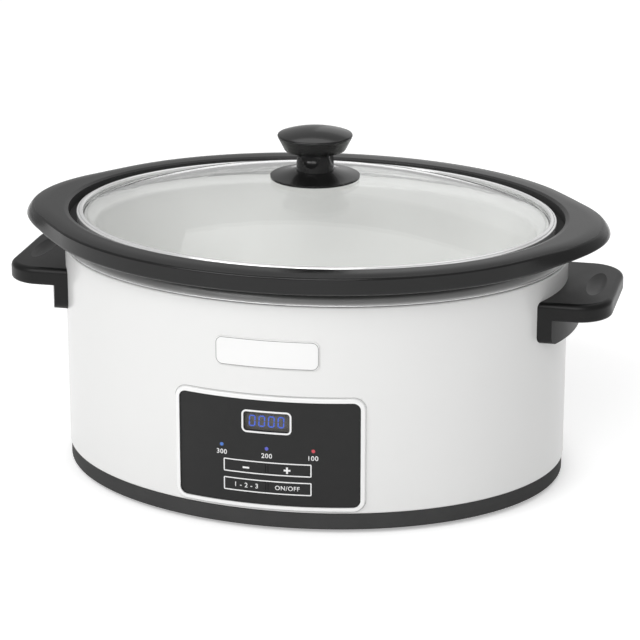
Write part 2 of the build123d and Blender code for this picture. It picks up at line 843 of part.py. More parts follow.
# Panel fascia: curved plate with openings for the display, the lamps and the keys
with BuildPart() as panel_fascia:
    with BuildSketch(panel_plane(box_inside)):
        RectangleRounded(fascia_width - 2 * fit, fascia_tall - 2 * fit, fascia_corner - fit)
    extrude(amount=shell_half_depth)
    with BuildSketch():
        oval(fascia_proud)
    extrude(amount=shell_top, mode=Mode.INTERSECT)
    with BuildSketch():
        oval(fascia_back)
    extrude(amount=shell_top, mode=Mode.SUBTRACT)
    with BuildSketch(panel_plane(box_inside)):
        with Locations((0, display_rise)):
            RectangleRounded(display_width + 2 * fit, display_tall + 2 * fit, opening_corner_radius)
        with Locations(*[(x, lamp_rise) for x in lamp_offsets.values()]):
            Circle(lamp_radius + fit)
        with Locations(*key_places.values()):
            RectangleRounded(key_width + 2 * slide_gap, key_tall + 2 * slide_gap, opening_corner_radius)
    extrude(amount=shell_half_depth, mode=Mode.SUBTRACT)
pieces["panel_fascia"] = panel_fascia.part

# Display window: plug in the fascia with a lip behind it
display_lip_front = oval_front(display_width / 2 + display_lip, fascia_back) - fit
display_lip_back = display_lip_front - display_lip_thickness
with BuildPart() as display_window:
    with BuildSketch(panel_plane(display_lip_back, 0, display_rise)):
        RectangleRounded(display_width, display_tall, opening_corner_radius - fit)
    extrude(amount=shell_half_depth)
    with BuildSketch():
        oval(fascia_proud)
    extrude(amount=shell_top, mode=Mode.INTERSECT)
    with BuildSketch(panel_plane(display_lip_back, 0, display_rise)):
        flange_width = display_width + 2 * display_lip
        flange_tall = display_tall + 2 * display_lip
        RectangleRounded(flange_width, flange_tall, opening_corner_radius)
    extrude(amount=display_lip_thickness)
pieces["display_window"] = display_window.part

# Display module on the board, close behind the window
with BuildPart() as display_module:
    with BuildSketch(panel_plane(board_front, 0, display_rise)):
        Rectangle(display_width + 2 * display_bezel, display_tall + 2 * display_bezel)
    extrude(amount=display_lip_back - fit - board_front)
pieces["display_module"] = display_module.part

# Lamps: light pipes through the fascia, each over its own light on the board
for lamp_name, lamp_x in lamp_offsets.items():
    lamp_reach = abs(lamp_x) + lamp_radius + lamp_flange
    flange_front = oval_front(lamp_reach, fascia_back) - fit
    lamp_back = board_front + led_height + fit
    lamp_front = oval_front(abs(lamp_x), fascia_proud) + lamp_proud
    with BuildPart() as lamp:
        with BuildSketch(panel_plane(lamp_back, lamp_x, lamp_rise)):
            Circle(lamp_radius)
        extrude(amount=lamp_front - lamp_back)
        with BuildSketch(panel_plane(flange_front, lamp_x, lamp_rise)):
            Circle(lamp_radius + lamp_flange)
        extrude(amount=-lamp_flange_thickness)
    pieces[lamp_name] = lamp.part

with BuildPart() as indicator_leds:
    with BuildSketch(panel_plane(board_front)):
        with Locations(*[(x, lamp_rise) for x in lamp_offsets.values()]):
            Rectangle(led_size, led_size)
    extrude(amount=led_height)
pieces["indicator_leds"] = indicator_leds.part

# Control board on the box's posts, with its screws
with BuildPart() as control_board:
    with BuildSketch(panel_plane(board_back)):
        RectangleRounded(board_width, board_tall, opening_corner_radius)
        with board_corners:
            Circle(board_screw_radius + fit, mode=Mode.SUBTRACT)
    extrude(amount=board_thickness)
pieces["control_board"] = control_board.part

with BuildPart() as control_screws:
    with BuildSketch(panel_plane(board_front)):
        with board_corners:
            Circle(board_screw_head_radius)
    extrude(amount=board_screw_head_height)
    with BuildSketch(panel_plane(board_front)):
        with board_corners:
            Circle(board_screw_radius)
    extrude(amount=-board_thickness - board_screw_grip)
pieces["control_screws"] = control_screws.part

# Switch bodies on the board, each with a well for its plunger
switch_top = board_front + switch_height
with BuildPart() as tact_switches:
    with BuildSketch(panel_plane(board_front)):
        with Locations(*key_places.values()):
            Rectangle(switch_size, switch_size)
    extrude(amount=switch_height)
    with BuildSketch(panel_plane(switch_top)):
        with Locations(*key_places.values()):
            Circle(plunger_radius + slide_gap)
    extrude(amount=-plunger_sunk - key_travel - slide_gap, mode=Mode.SUBTRACT)
pieces["tact_switches"] = tact_switches.part

# Keys: curved caps in the fascia with a retaining lip and a stem, each on its switch plunger
plunger_top = switch_top + plunger_proud
for key_name, (key_x, key_rise) in key_places.items():
    key_edge = abs(key_x) + key_width / 2 + key_side_lip
    lip_front = oval_front(key_edge, fascia_back) - fit
    lip_back = lip_front - key_lip_thickness
    with BuildPart() as key:
        with BuildSketch(panel_plane(lip_back, key_x, key_rise)):
            RectangleRounded(key_width, key_tall, opening_corner_radius - fit)
        extrude(amount=shell_half_depth)
        with BuildSketch():
            oval(fascia_proud)
        extrude(amount=shell_top, mode=Mode.INTERSECT)
        with BuildSketch(panel_plane(lip_back, key_x, key_rise)):
            Rectangle(key_width + 2 * key_side_lip, key_tall + 2 * key_lip)
        extrude(amount=key_lip_thickness)
        with BuildSketch(panel_plane(plunger_top, key_x, key_rise)):
            Circle(key_stem_radius)
        extrude(amount=lip_back - plunger_top)
    pieces[f"{key_name}_key"] = key.part
    with BuildPart() as plunger:
        with BuildSketch(panel_plane(plunger_top, key_x, key_rise)):
            Circle(plunger_radius)
        extrude(amount=-plunger_proud - plunger_sunk)
    pieces[f"{key_name}_plunger"] = plunger.part

# Crock: broad rim with round ends, tapered body, lid seat and rounded cavity
rim_half_length = shell_half_length + rim_end_overhang
rim_half_depth = shell_half_depth + rim_side_overhang
lug_centre = rim_half_length + lug_reach - lug_radius
square_gap = rim_half_length**2 - rim_half_depth**2 - lug_centre**2
lug_term = lug_centre * lug_radius
depth_term = rim_half_depth**2 - lug_radius**2
flank_cos = depth_term / (lug_term + math.sqrt(lug_term**2 - square_gap * depth_term))
flank_sin = math.sqrt(1 - flank_cos**2)
flank_reach = lug_centre * flank_cos + lug_radius
flank_rim = (rim_half_length**2 * flank_cos / flank_reach, rim_half_depth**2 * flank_sin / flank_reach)
flank_lug = (lug_centre + lug_radius * flank_cos, lug_radius * flank_sin)
rim_start = math.degrees(math.acos(flank_rim[0] / rim_half_length))
rim_turn = math.degrees(math.asin(flank_rim[0] / rim_half_length))
with BuildPart() as crock_space:
    with BuildSketch(Plane.XY.offset(cavity_floor)):
        wall_oval(cavity_floor, 0)
    with BuildSketch(Plane.XY.offset(rim_bottom)):
        wall_oval(rim_bottom, 0)
    loft(ruled=True)
    fillet(crock_space.edges().group_by(Axis.Z)[0], cavity_bottom_radius)
    with BuildSketch(Plane.XY.offset(rim_bottom)):
        wall_oval(rim_bottom, 0)
    with BuildSketch(Plane.XY.offset(lid_seat)):
        lid_oval(mouth_inset)
    loft(ruled=True)
    with BuildSketch(Plane.XY.offset(lid_seat)):
        lid_oval(-lid_gap)
    extrude(amount=2 * lid_seat_depth)
with BuildPart() as crock:
    with BuildSketch(Plane.XY.offset(rim_bottom)):
        with BuildLine():
            EllipticalCenterArc((0, 0), rim_half_length, rim_half_depth, rim_start, arc_size=rim_turn)
            Line(flank_rim, flank_lug)
            CenterArc((lug_centre, 0), lug_radius, 0, math.degrees(math.acos(flank_cos)))
            mirror(about=Plane.YZ)
            mirror(about=Plane.XZ)
        make_face()
    extrude(amount=rim_height)
    rim_face = crock.faces().sort_by(Axis.Z)[-1]
    chamfer(rim_face.edges(), rim_crown_width, rim_crown_drop, reference=rim_face)
    crease_height = rim_top - rim_crown_drop
    fillet(crock.edges().filter_by_position(Axis.Z, crease_height - fit, crease_height + fit), rim_crease_radius)
    fillet(crock.edges().group_by(Axis.Z)[0], rim_bottom_radius)
    with BuildSketch(Plane.XY.offset(crock_bottom)):
        wall_oval(crock_bottom, crock_wall)
    with BuildSketch(Plane.XY.offset(rim_bottom + rim_bottom_radius)):
        wall_oval(rim_bottom + rim_bottom_radius, crock_wall)
    loft(ruled=True)
    fillet(crock.edges().group_by(Axis.Z)[0], crock_bottom_radius)
    add(crock_space.part, mode=Mode.SUBTRACT)
    fillet(crock.edges().group_by(Axis.Z)[-1].sort_by(SortBy.LENGTH)[-1], mouth_edge_radius)
pieces["crock"] = crock.part

# Lid ring: channel of steel that holds the edge of the glass, with a rounded crown
groove_height = glass_thickness + 2 * fit
ring_height = ring_skin + groove_height + ring_crown
with BuildPart() as lid_ring:
    with BuildSketch(Plane.XY.offset(lid_seat)):
        lid_oval(0)
        lid_oval(ring_width, Mode.SUBTRACT)
    extrude(amount=ring_height)
    fillet(lid_ring.edges().group_by(Axis.Z)[-1], ring_crown_radius)
    with BuildSketch(Plane.XY.offset(lid_seat + ring_skin)):
        lid_oval(ring_skin)
    extrude(amount=groove_height, mode=Mode.SUBTRACT)
pieces["lid_ring"] = lid_ring.part

# Lid glass: domed disc stretched to the lid's oval, with a hole for the knob screw
glass_edge = lid_half_length - ring_skin - fit
glass_depth = lid_half_depth - ring_skin - fit
glass_bottom = lid_seat + ring_skin + fit
glass_top = glass_bottom + glass_thickness
dome_start = glass_edge - dome_border
dome_radius = (dome_start**2 + dome_rise**2) / (2 * dome_rise)
half_drop = dome_radius - math.sqrt(dome_radius**2 - (dome_start / 2) ** 2)
dome_top = glass_top + dome_rise
dome_under = dome_top - glass_thickness
with BuildPart() as lid_glass:
    with BuildSketch(Plane.XZ):
        with BuildLine():
            edge_low = (glass_edge, glass_bottom)
            edge_high = (glass_edge, glass_top)
            Polyline((dome_start, glass_bottom), edge_low, edge_high, (dome_start, glass_top))
            ThreePointArc((dome_start, glass_top), (dome_start / 2, dome_top - half_drop), (0, dome_top))
            Line((0, dome_top), (0, dome_under))
            under_mid = (dome_start / 2, dome_under - half_drop)
            ThreePointArc((0, dome_under), under_mid, (dome_start, glass_bottom))
        make_face()
    revolve(axis=Axis.Z)
    scale(by=(1, glass_depth / glass_edge, 1))
    with BuildSketch(Plane.XY.offset(glass_bottom)):
        Circle(knob_screw_radius + slide_gap)
    extrude(amount=2 * dome_rise, mode=Mode.SUBTRACT)
pieces["lid_glass"] = lid_glass.part

# Knob base: flared skirt that follows the top of the dome
knob_seat = dome_top + fit
neck_bottom = knob_seat + knob_base_height
with BuildPart() as knob_base:
    with BuildSketch(Plane.XZ):
        with BuildLine():
            skirt_low = (knob_base_radius, knob_seat - knob_base_droop)
            skirt_high = (knob_base_radius, knob_seat - knob_base_droop + knob_base_edge)
            skirt_mid = ((knob_base_radius + neck_foot_radius) / 2, knob_seat + knob_base_height / 2)
            bore = knob_screw_radius + slide_gap
            pad_edge = (knob_pad_radius, knob_seat)
            Polyline((bore, neck_bottom), (bore, knob_seat), pad_edge, skirt_low, skirt_high)
            ThreePointArc(skirt_high, skirt_mid, (neck_foot_radius, neck_bottom))
            Line((neck_foot_radius, neck_bottom), (bore, neck_bottom))
        make_face()
    revolve(axis=Axis.Z)
pieces["knob_base"] = knob_base.part

# Knob: scalloped neck under a wide cap with a low crown
cap_bottom = neck_bottom + neck_height
cap_side_bottom = cap_bottom + cap_under_rise
cap_side_top = cap_side_bottom + cap_side_height
scallop_ring = neck_radius + scallop_radius - scallop_depth
crown_radius = (cap_radius**2 + cap_crown**2) / (2 * cap_crown)
crown_mid = cap_crown - crown_radius + math.sqrt(crown_radius**2 - (cap_radius / 2) ** 2)
with BuildPart() as knob:
    with BuildSketch(Plane.XY.offset(neck_bottom)):
        Circle(neck_radius)
    extrude(amount=neck_height)
    with Locations((0, 0, cap_bottom + scallop_rise)):
        with PolarLocations(scallop_ring, scallop_count, start_angle=-90):
            Sphere(scallop_radius, mode=Mode.SUBTRACT)
    with BuildSketch(Plane.XZ):
        with BuildLine():
            Polyline(
                (0, cap_bottom),
                (neck_radius, cap_bottom),
                (cap_under_radius, cap_side_bottom),
                (cap_radius, cap_side_top),
            )
            crown_half = (cap_radius / 2, cap_side_top + crown_mid)
            ThreePointArc((cap_radius, cap_side_top), crown_half, (0, cap_side_top + cap_crown))
            Line((0, cap_side_top + cap_crown), (0, cap_bottom))
        make_face()
    revolve(axis=Axis.Z)
    fillet(knob.edges().filter_by_position(Axis.Z, cap_side_top - fit, cap_side_top + fit), cap_edge_radius)
    with BuildSketch(Plane.XY.offset(neck_bottom)):
        Circle(knob_screw_radius + fit)
    extrude(amount=knob_screw_grip + screw_tip_gap, mode=Mode.SUBTRACT)
pieces["knob"] = knob.part

# Knob screw and its washer under the glass
washer_top = dome_under - knob_washer_gap
washer_bottom = washer_top - knob_washer_thickness
with BuildPart() as knob_washer:
    with BuildSketch(Plane.XY.offset(washer_bottom)):
        Circle(knob_washer_radius)
        Circle(knob_screw_radius + fit, mode=Mode.SUBTRACT)
    extrude(amount=knob_washer_thickness)
pieces["knob_washer"] = knob_washer.part

with BuildPart() as knob_screw:
    with BuildSketch(Plane.XY.offset(washer_bottom)):
        Circle(knob_screw_head_radius)
    extrude(amount=-knob_screw_head_height)
    with BuildSketch(Plane.XY.offset(washer_bottom)):
        Circle(knob_screw_radius)
    extrude(amount=neck_bottom + knob_screw_grip - washer_bottom)
pieces["knob_screw"] = knob_screw.part

os.makedirs("parts", exist_ok=True)
for name, piece in pieces.items():
    piece.label = name
    export_step(piece, f"parts/{name}.step")
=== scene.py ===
import math

import bmesh
import bpy
import numpy as np
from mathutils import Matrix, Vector


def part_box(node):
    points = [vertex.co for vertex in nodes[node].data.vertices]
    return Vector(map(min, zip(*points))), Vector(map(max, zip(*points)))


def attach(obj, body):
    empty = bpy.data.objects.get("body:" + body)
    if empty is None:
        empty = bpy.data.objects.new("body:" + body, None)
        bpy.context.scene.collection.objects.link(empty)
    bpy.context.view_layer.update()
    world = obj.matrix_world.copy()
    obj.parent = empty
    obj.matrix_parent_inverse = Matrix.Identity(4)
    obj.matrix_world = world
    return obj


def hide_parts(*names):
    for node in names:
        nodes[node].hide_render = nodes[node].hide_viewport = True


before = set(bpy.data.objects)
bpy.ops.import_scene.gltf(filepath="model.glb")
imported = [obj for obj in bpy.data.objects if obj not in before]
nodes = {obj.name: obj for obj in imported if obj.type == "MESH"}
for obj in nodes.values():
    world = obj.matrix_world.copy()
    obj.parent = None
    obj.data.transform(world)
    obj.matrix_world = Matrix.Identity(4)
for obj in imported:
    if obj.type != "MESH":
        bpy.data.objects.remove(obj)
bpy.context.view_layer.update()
mm = 0.001
print("frame loaded with", len(nodes), "nodes")


# Camera: looks at the middle of the cooker from the photo's angle, with its small off-centre shift
cameraSetup = {
    "azimuth": 13.03,
    "elevation": 18.33,
    "target": Vector((0, 0, 103 * mm)),
    "distance": 1.985,
    "lens": 156.8,
    "sensor": 36.0,
    "shift": (0.0077, 0.0029),
    "clip": (0.05, 50),
}


def makeCamera(setup):
    data = bpy.data.cameras.new("studioCamera")
    data.lens = setup["lens"]
    data.sensor_width = setup["sensor"]
    data.shift_x, data.shift_y = setup["shift"]
    data.clip_start, data.clip_end = setup["clip"]
    camera = bpy.data.objects.new("studioCamera", data)
    turn, rise = math.radians(setup["azimuth"]), math.radians(setup["elevation"])
    back = Vector((math.sin(turn) * math.cos(rise), -math.cos(turn) * math.cos(rise), math.sin(rise)))
    camera.location = setup["target"] + back * setup["distance"]
    camera.rotation_mode = "QUATERNION"
    camera.rotation_quaternion = (-back).to_track_quat("-Z", "Y")
    bpy.context.scene.collection.objects.link(camera)
    bpy.context.scene.camera = camera


makeCamera(cameraSetup)
bpy.context.scene.view_settings.view_transform = "Standard"
print("camera placed")


# Studio: an even white room and four soft lamps, over a white floor that keeps the shadow
studio = {
    "ambient": 0.45,
    "floorSize": 6.0,
    "floorColour": (0.9, 0.9, 0.9, 1),
    "floorRoughness": 0.9,
    "floorLift": 0.385,
    "lamps": [
        # name, place, aim, width, height, watts
        ("keyLamp", (-1.2, -2.0, 1.9), (0, 0, 0.1), 1.6, 1.6, 28),
        ("fillLamp", (0.25, -2.2, 1.85), (0, 0, 0.1), 1.2, 1.2, 21),
        ("topLamp", (0, 1.0, 2.2), (0, 0, 0.1), 2.2, 1.4, 10),
        ("backLamp", (0.5, 3.0, 1.0), (0, 0, 0.15), 2.4, 1.6, 3.2),
    ],
}


def addLamp(name, place, aim, width, height, watts):
    data = bpy.data.lights.new(name, "AREA")
    data.shape = "RECTANGLE"
    data.size, data.size_y, data.energy = width, height, watts
    lamp = bpy.data.objects.new(name, data)
    lamp.location = place
    lamp.rotation_mode = "QUATERNION"
    lamp.rotation_quaternion = (Vector(aim) - Vector(place)).to_track_quat("-Z", "Y")
    bpy.context.scene.collection.objects.link(lamp)


# Highest of several Light Path outputs, to tell some kinds of ray from the rest
def seenRays(tree, *kinds):
    path = tree.nodes.new("ShaderNodeLightPath")
    seen = path.outputs[kinds[0]]
    for kind in kinds[1:]:
        either = tree.nodes.new("ShaderNodeMath")
        either.operation = "MAXIMUM"
        tree.links.new(seen, either.inputs[0])
        tree.links.new(path.outputs[kind], either.inputs[1])
        seen = either.outputs[0]
    return seen


def makeStudio(setup):
    world = bpy.data.worlds.new("studioWorld")
    world.use_nodes = True
    light = world.node_tree.nodes["Background"]
    light.inputs["Color"].default_value = (1, 1, 1, 1)
    light.inputs["Strength"].default_value = setup["ambient"]
    bpy.context.scene.world = world

    half = setup["floorSize"] / 2
    corners = [(-half, -half, 0), (half, -half, 0), (half, half, 0), (-half, half, 0)]
    mesh = bpy.data.meshes.new("studioFloor")
    mesh.from_pydata(corners, [], [(0, 1, 2, 3)])
    floor = bpy.data.objects.new("studioFloor", mesh)
    bpy.context.scene.collection.objects.link(floor)
    paint = bpy.data.materials.new("floorPaint")
    paint.use_nodes = True
    tree = paint.node_tree
    base = tree.nodes["Principled BSDF"]
    base.inputs["Base Color"].default_value = setup["floorColour"]
    base.inputs["Roughness"].default_value = setup["floorRoughness"]
    base.inputs["Specular IOR Level"].default_value = 0.0
    base.inputs["Emission Color"].default_value = (1, 1, 1, 1)
    lift = tree.nodes.new("ShaderNodeMath")
    lift.operation = "MULTIPLY"
    lift.inputs[1].default_value = setup["floorLift"]
    tree.links.new(seenRays(tree, "Is Camera Ray", "Is Glossy Ray", "Is Transmission Ray"), lift.inputs[0])
    tree.links.new(lift.outputs[0], base.inputs["Emission Strength"])
    mesh.materials.append(paint)
    for lamp in setup["lamps"]:
        addLamp(*lamp)


makeStudio(studio)
print("studio lit")


# Materials: each starts from one Principled shader; noise reads Object coordinates, in cycles per metre
def startMaterial(name, **sockets):
    material = bpy.data.materials.new(name)
    material.use_nodes = True
    shader = material.node_tree.nodes["Principled BSDF"]
    for socket, value in sockets.items():
        shader.inputs[socket.replace("_", " ")].default_value = value
    return material, material.node_tree, shader


def noiseOn(tree, scale, detail=4.0):
    coords = tree.nodes.new("ShaderNodeTexCoord")
    noise = tree.nodes.new("ShaderNodeTexNoise")
    noise.inputs["Scale"].default_value = scale
    noise.inputs["Detail"].default_value = detail
    tree.links.new(coords.outputs["Object"], noise.inputs["Vector"])
    return noise.outputs["Fac"]


def varyColour(tree, socket, source, dark, light, span=(0.3, 0.7)):
    ramp = tree.nodes.new("ShaderNodeValToRGB")
    ramp.color_ramp.elements[0].position, ramp.color_ramp.elements[1].position = span
    ramp.color_ramp.elements[0].color = (*dark, 1)
    ramp.color_ramp.elements[1].color = (*light, 1)
    tree.links.new(source, ramp.inputs["Fac"])
    tree.links.new(ramp.outputs["Color"], socket)


def varyValue(tree, socket, source, low, high, span=(0.3, 0.7)):
    spread = tree.nodes.new("ShaderNodeMapRange")
    for name, value in zip(("From Min", "From Max", "To Min", "To Max"), (*span, low, high)):
        spread.inputs[name].default_value = value
    tree.links.new(source, spread.inputs["Value"])
    tree.links.new(spread.outputs["Result"], socket)


def addBump(tree, shader, source, depth):
    bump = tree.nodes.new("ShaderNodeBump")
    bump.inputs["Distance"].default_value = depth
    tree.links.new(source, bump.inputs["Height"])
    tree.links.new(bump.outputs["Normal"], shader.inputs["Normal"])


finishes = {
    # name: dark, light, noise scale, roughness low and high, bump scale, bump depth in mm, extra sockets
    "whiteEnamel": ((0.805, 0.805, 0.797), (0.813, 0.813, 0.805), 12, 0.28, 0.31, 700, 0.01,
                    {"Coat_Weight": 0.2, "Coat_Roughness": 0.15}),
    "satinBlack": ((0.006, 0.006, 0.006), (0.009, 0.009, 0.009), 60, 0.34, 0.38, 2600, 0.01,
                   {"Specular_IOR_Level": 0.22}),
    "baseBlack": ((0.056, 0.056, 0.056), (0.062, 0.062, 0.062), 60, 0.55, 0.65, 2600, 0.01,
                  {"Specular_IOR_Level": 0.04}),
    "glossBlack": ((0.010, 0.010, 0.010), (0.013, 0.013, 0.013), 40, 0.13, 0.16, 500, 0.002,
                   {"Specular_IOR_Level": 0.36}),
    "panelBlack": ((0.012, 0.012, 0.012), (0.015, 0.015, 0.015), 80, 0.42, 0.50, 3000, 0.01,
                   {"Specular_IOR_Level": 0.3}),
    "displayFace": ((0.175, 0.166, 0.153), (0.184, 0.175, 0.161), 40, 0.55, 0.60, 600, 0.002,
                    {"Specular_IOR_Level": 0.2}),
    "whitePlastic": ((0.89, 0.89, 0.885), (0.905, 0.905, 0.90), 20, 0.24, 0.28, 1500, 0.005, {}),
    "printWhite": ((0.84, 0.84, 0.84), (0.88, 0.88, 0.88), 300, 0.45, 0.55, 2000, 0.003, {}),
    "polishedSteel": ((0.79, 0.79, 0.79), (0.83, 0.83, 0.83), 40, 0.14, 0.18, 900, 0.002, {"Metallic": 1.0}),
    "ringSteel": ((0.90, 0.90, 0.90), (0.93, 0.93, 0.93), 40, 0.14, 0.18, 900, 0.002, {"Metallic": 0.6}),
    "jointGrey": ((0.38, 0.38, 0.38), (0.42, 0.42, 0.42), 200, 0.40, 0.45, 2000, 0.003, {}),
    "badgeGrey": ((0.20, 0.20, 0.20), (0.24, 0.24, 0.24), 200, 0.40, 0.45, 2000, 0.003, {}),
    "collarSteel": ((0.25, 0.25, 0.25), (0.275, 0.275, 0.272), 40, 0.28, 0.32, 1400, 0.005,
                    {"Metallic": 1.0}),
    "satinSteel": ((0.46, 0.46, 0.46), (0.50, 0.50, 0.495), 40, 0.28, 0.33, 1400, 0.005, {"Metallic": 1.0}),
    "sheetAluminium": ((0.60, 0.60, 0.61), (0.70, 0.70, 0.71), 80, 0.30, 0.42, 800, 0.03, {"Metallic": 1.0}),
    "blackGlaze": ((0.006, 0.006, 0.006), (0.009, 0.009, 0.009), 25, 0.20, 0.24, 90, 0.02,
                   {"Specular_IOR_Level": 0.34}),
    "bareClay": ((0.038, 0.038, 0.038), (0.046, 0.046, 0.046), 200, 0.65, 0.75, 1500, 0.02,
                 {"Specular_IOR_Level": 0.12}),
    "paleGlaze": ((0.84, 0.84, 0.83), (0.87, 0.87, 0.86), 20, 0.10, 0.16, 90, 0.02, {}),
    "softRubber": ((0.030, 0.030, 0.030), (0.045, 0.045, 0.045), 120, 0.70, 0.85, 1800, 0.05, {}),
    "boardGreen": ((0.02, 0.10, 0.045), (0.03, 0.14, 0.06), 150, 0.35, 0.5, 600, 0.03, {}),
    "mouldedDark": ((0.03, 0.03, 0.032), (0.05, 0.05, 0.052), 140, 0.4, 0.55, 1500, 0.03, {}),
    "micaCloth": ((0.52, 0.46, 0.36), (0.64, 0.58, 0.48), 400, 0.75, 0.9, 1800, 0.15, {}),
    "paleSilicone": ((0.60, 0.60, 0.59), (0.68, 0.68, 0.67), 90, 0.45, 0.6, 900, 0.02, {}),
}


def makeFinish(name):
    dark, light, scale, smooth, rough, bumpScale, depth, extra = finishes[name]
    material, tree, shader = startMaterial(name, **extra)
    patches = noiseOn(tree, scale)
    varyColour(tree, shader.inputs["Base Color"], patches, dark, light)
    varyValue(tree, shader.inputs["Roughness"], patches, smooth, rough)
    addBump(tree, shader, noiseOn(tree, bumpScale, detail=2.0), depth * mm)
    return material


materials = {name: makeFinish(name) for name in finishes}


glass = {
    "bend": 1.22,
    "tint": (0.985, 0.99, 0.985, 1),
    "clear": (0.97, 0.975, 0.97, 1),
    "hazeScale": 25,
    "roughness": (0.0, 0.02),
}


def makeGlass():
    material, tree, shader = startMaterial(
        "lidGlass", Transmission_Weight=1.0, IOR=glass["bend"], Base_Color=glass["tint"]
    )
    varyValue(tree, shader.inputs["Roughness"], noiseOn(tree, glass["hazeScale"]), *glass["roughness"])
    # light on its way into the pot goes straight through
    clear = tree.nodes.new("ShaderNodeBsdfTransparent")
    clear.inputs["Color"].default_value = glass["clear"]
    choose = tree.nodes.new("ShaderNodeMixShader")
    tree.links.new(seenRays(tree, "Is Shadow Ray", "Is Diffuse Ray"), choose.inputs["Fac"])
    tree.links.new(shader.outputs["BSDF"], choose.inputs[1])
    tree.links.new(clear.outputs["BSDF"], choose.inputs[2])
    tree.links.new(choose.outputs["Shader"], tree.nodes["Material Output"].inputs["Surface"])
    return material


smoked = {
    "alpha": 0.12,
    "shine": 0.4,
    "hazeScale": 60,
    "dark": (0.022, 0.022, 0.023),
    "light": (0.025, 0.025, 0.026),
    "roughness": (0.40, 0.46),
}


def makeWindow():
    material, tree, shader = startMaterial(
        "smokedWindow", Alpha=smoked["alpha"], Specular_IOR_Level=smoked["shine"]
    )
    haze = noiseOn(tree, smoked["hazeScale"])
    varyColour(tree, shader.inputs["Base Color"], haze, smoked["dark"], smoked["light"])
    varyValue(tree, shader.inputs["Roughness"], haze, *smoked["roughness"])
    return material


lit = {
    "dark": (0.02, 0.04, 0.3),
    "light": (0.03, 0.06, 0.4),
    "glow": (0.08, 0.16, 0.64),
    "dimmer": 0.85,
    "strength": 0.9,
    "roughness": 0.25,
    "grainScale": 700,
}


def makeGlow():
    material, tree, shader = startMaterial(
        "digitGlow", Emission_Strength=lit["strength"], Roughness=lit["roughness"]
    )
    grain = noiseOn(tree, lit["grainScale"])
    dim = tuple(lit["dimmer"] * part for part in lit["glow"])
    varyColour(tree, shader.inputs["Base Color"], grain, lit["dark"], lit["light"])
    varyColour(tree, shader.inputs["Emission Color"], grain, dim, lit["glow"])
    return material


lens = {
    # finish: node, colour
    "lamps": {
        "highLens": ("high_lamp", (0.05, 0.15, 0.48)),
        "lowLens": ("low_lamp", (0.08, 0.09, 0.46)),
        "warmLens": ("warm_lamp", (0.50, 0.05, 0.07)),
    },
    "edge": (0.02, 0.02, 0.02),
    "unlit": (0, 0, 0),
    "strength": 0.25,
    "roughness": 0.25,
    "unit": 2 * mm,
    "fade": (0.45, 0.75),
}


def makeLens(node, colour):
    material, tree, shader = startMaterial(
        node + "Lens", Emission_Strength=lens["strength"], Roughness=lens["roughness"]
    )
    low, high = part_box(node)
    scale = 1 / lens["unit"]
    # distance from the lamp's axis, in units: bright in the middle, dark at the edge of the lens
    place = tree.nodes.new("ShaderNodeTexCoord")
    flatten = tree.nodes.new("ShaderNodeVectorMath")
    flatten.operation = "MULTIPLY"
    flatten.inputs[1].default_value = (scale, 0, scale)
    away = tree.nodes.new("ShaderNodeVectorMath")
    away.operation = "DISTANCE"
    away.inputs[1].default_value = (scale * (low.x + high.x) / 2, 0, scale * (low.z + high.z) / 2)
    tree.links.new(place.outputs["Object"], flatten.inputs[0])
    tree.links.new(flatten.outputs["Vector"], away.inputs[0])
    distance = away.outputs["Value"]
    varyColour(tree, shader.inputs["Base Color"], distance, colour, lens["edge"], lens["fade"])
    varyColour(tree, shader.inputs["Emission Color"], distance, colour, lens["unlit"], lens["fade"])
    return material


materials["lidGlass"] = makeGlass()
materials["smokedWindow"] = makeWindow()
materials["digitGlow"] = makeGlow()
for name, (node, colour) in lens["lamps"].items():
    materials[name] = makeLens(node, colour)

coats = {
    "whiteEnamel": ["outer_shell"],
    "satinBlack": ["left_handle", "right_handle", "control_box", "cord_gland"],
    "baseBlack": ["base_pan"],
    "panelBlack": ["panel_fascia", "minus_key", "plus_key", "select_key", "power_key"],
    "glossBlack": ["knob", "knob_base"],
    "whitePlastic": ["panel_bezel", "badge_plate", "indicator_leds"],
    "polishedSteel": ["lid_ring", "knob_screw", "base_screws", "well_studs", "handle_screws", "panel_screws",
                      "control_screws", "power_screws"],
    "satinSteel": ["heating_well", "heater_strap", "sensor_bracket", "fuse_clip"],
    "sheetAluminium": ["heat_shield", "temperature_sensor"],
    "blackGlaze": ["crock"],
    "lidGlass": ["lid_glass"],
    "softRubber": ["rubber_feet"],
    "boardGreen": ["control_board", "power_board"],
    "highLens": ["high_lamp"],
    "lowLens": ["low_lamp"],
    "warmLens": ["warm_lamp"],
    "micaCloth": ["heater_band"],
    "paleSilicone": ["knob_washer"],
    "smokedWindow": ["display_window"],
    "displayFace": ["display_module"],
    "mouldedDark": ["tact_switches", "minus_plunger", "plus_plunger", "select_plunger", "power_plunger",
                    "power_relay", "power_transformer", "thermal_fuse"],
}
for finish, names in coats.items():
    for name in names:
        nodes[name].data.materials.clear()
        nodes[name].data.materials.append(materials[finish])
print("materials on", sum(len(names) for names in coats.values()), "nodes")


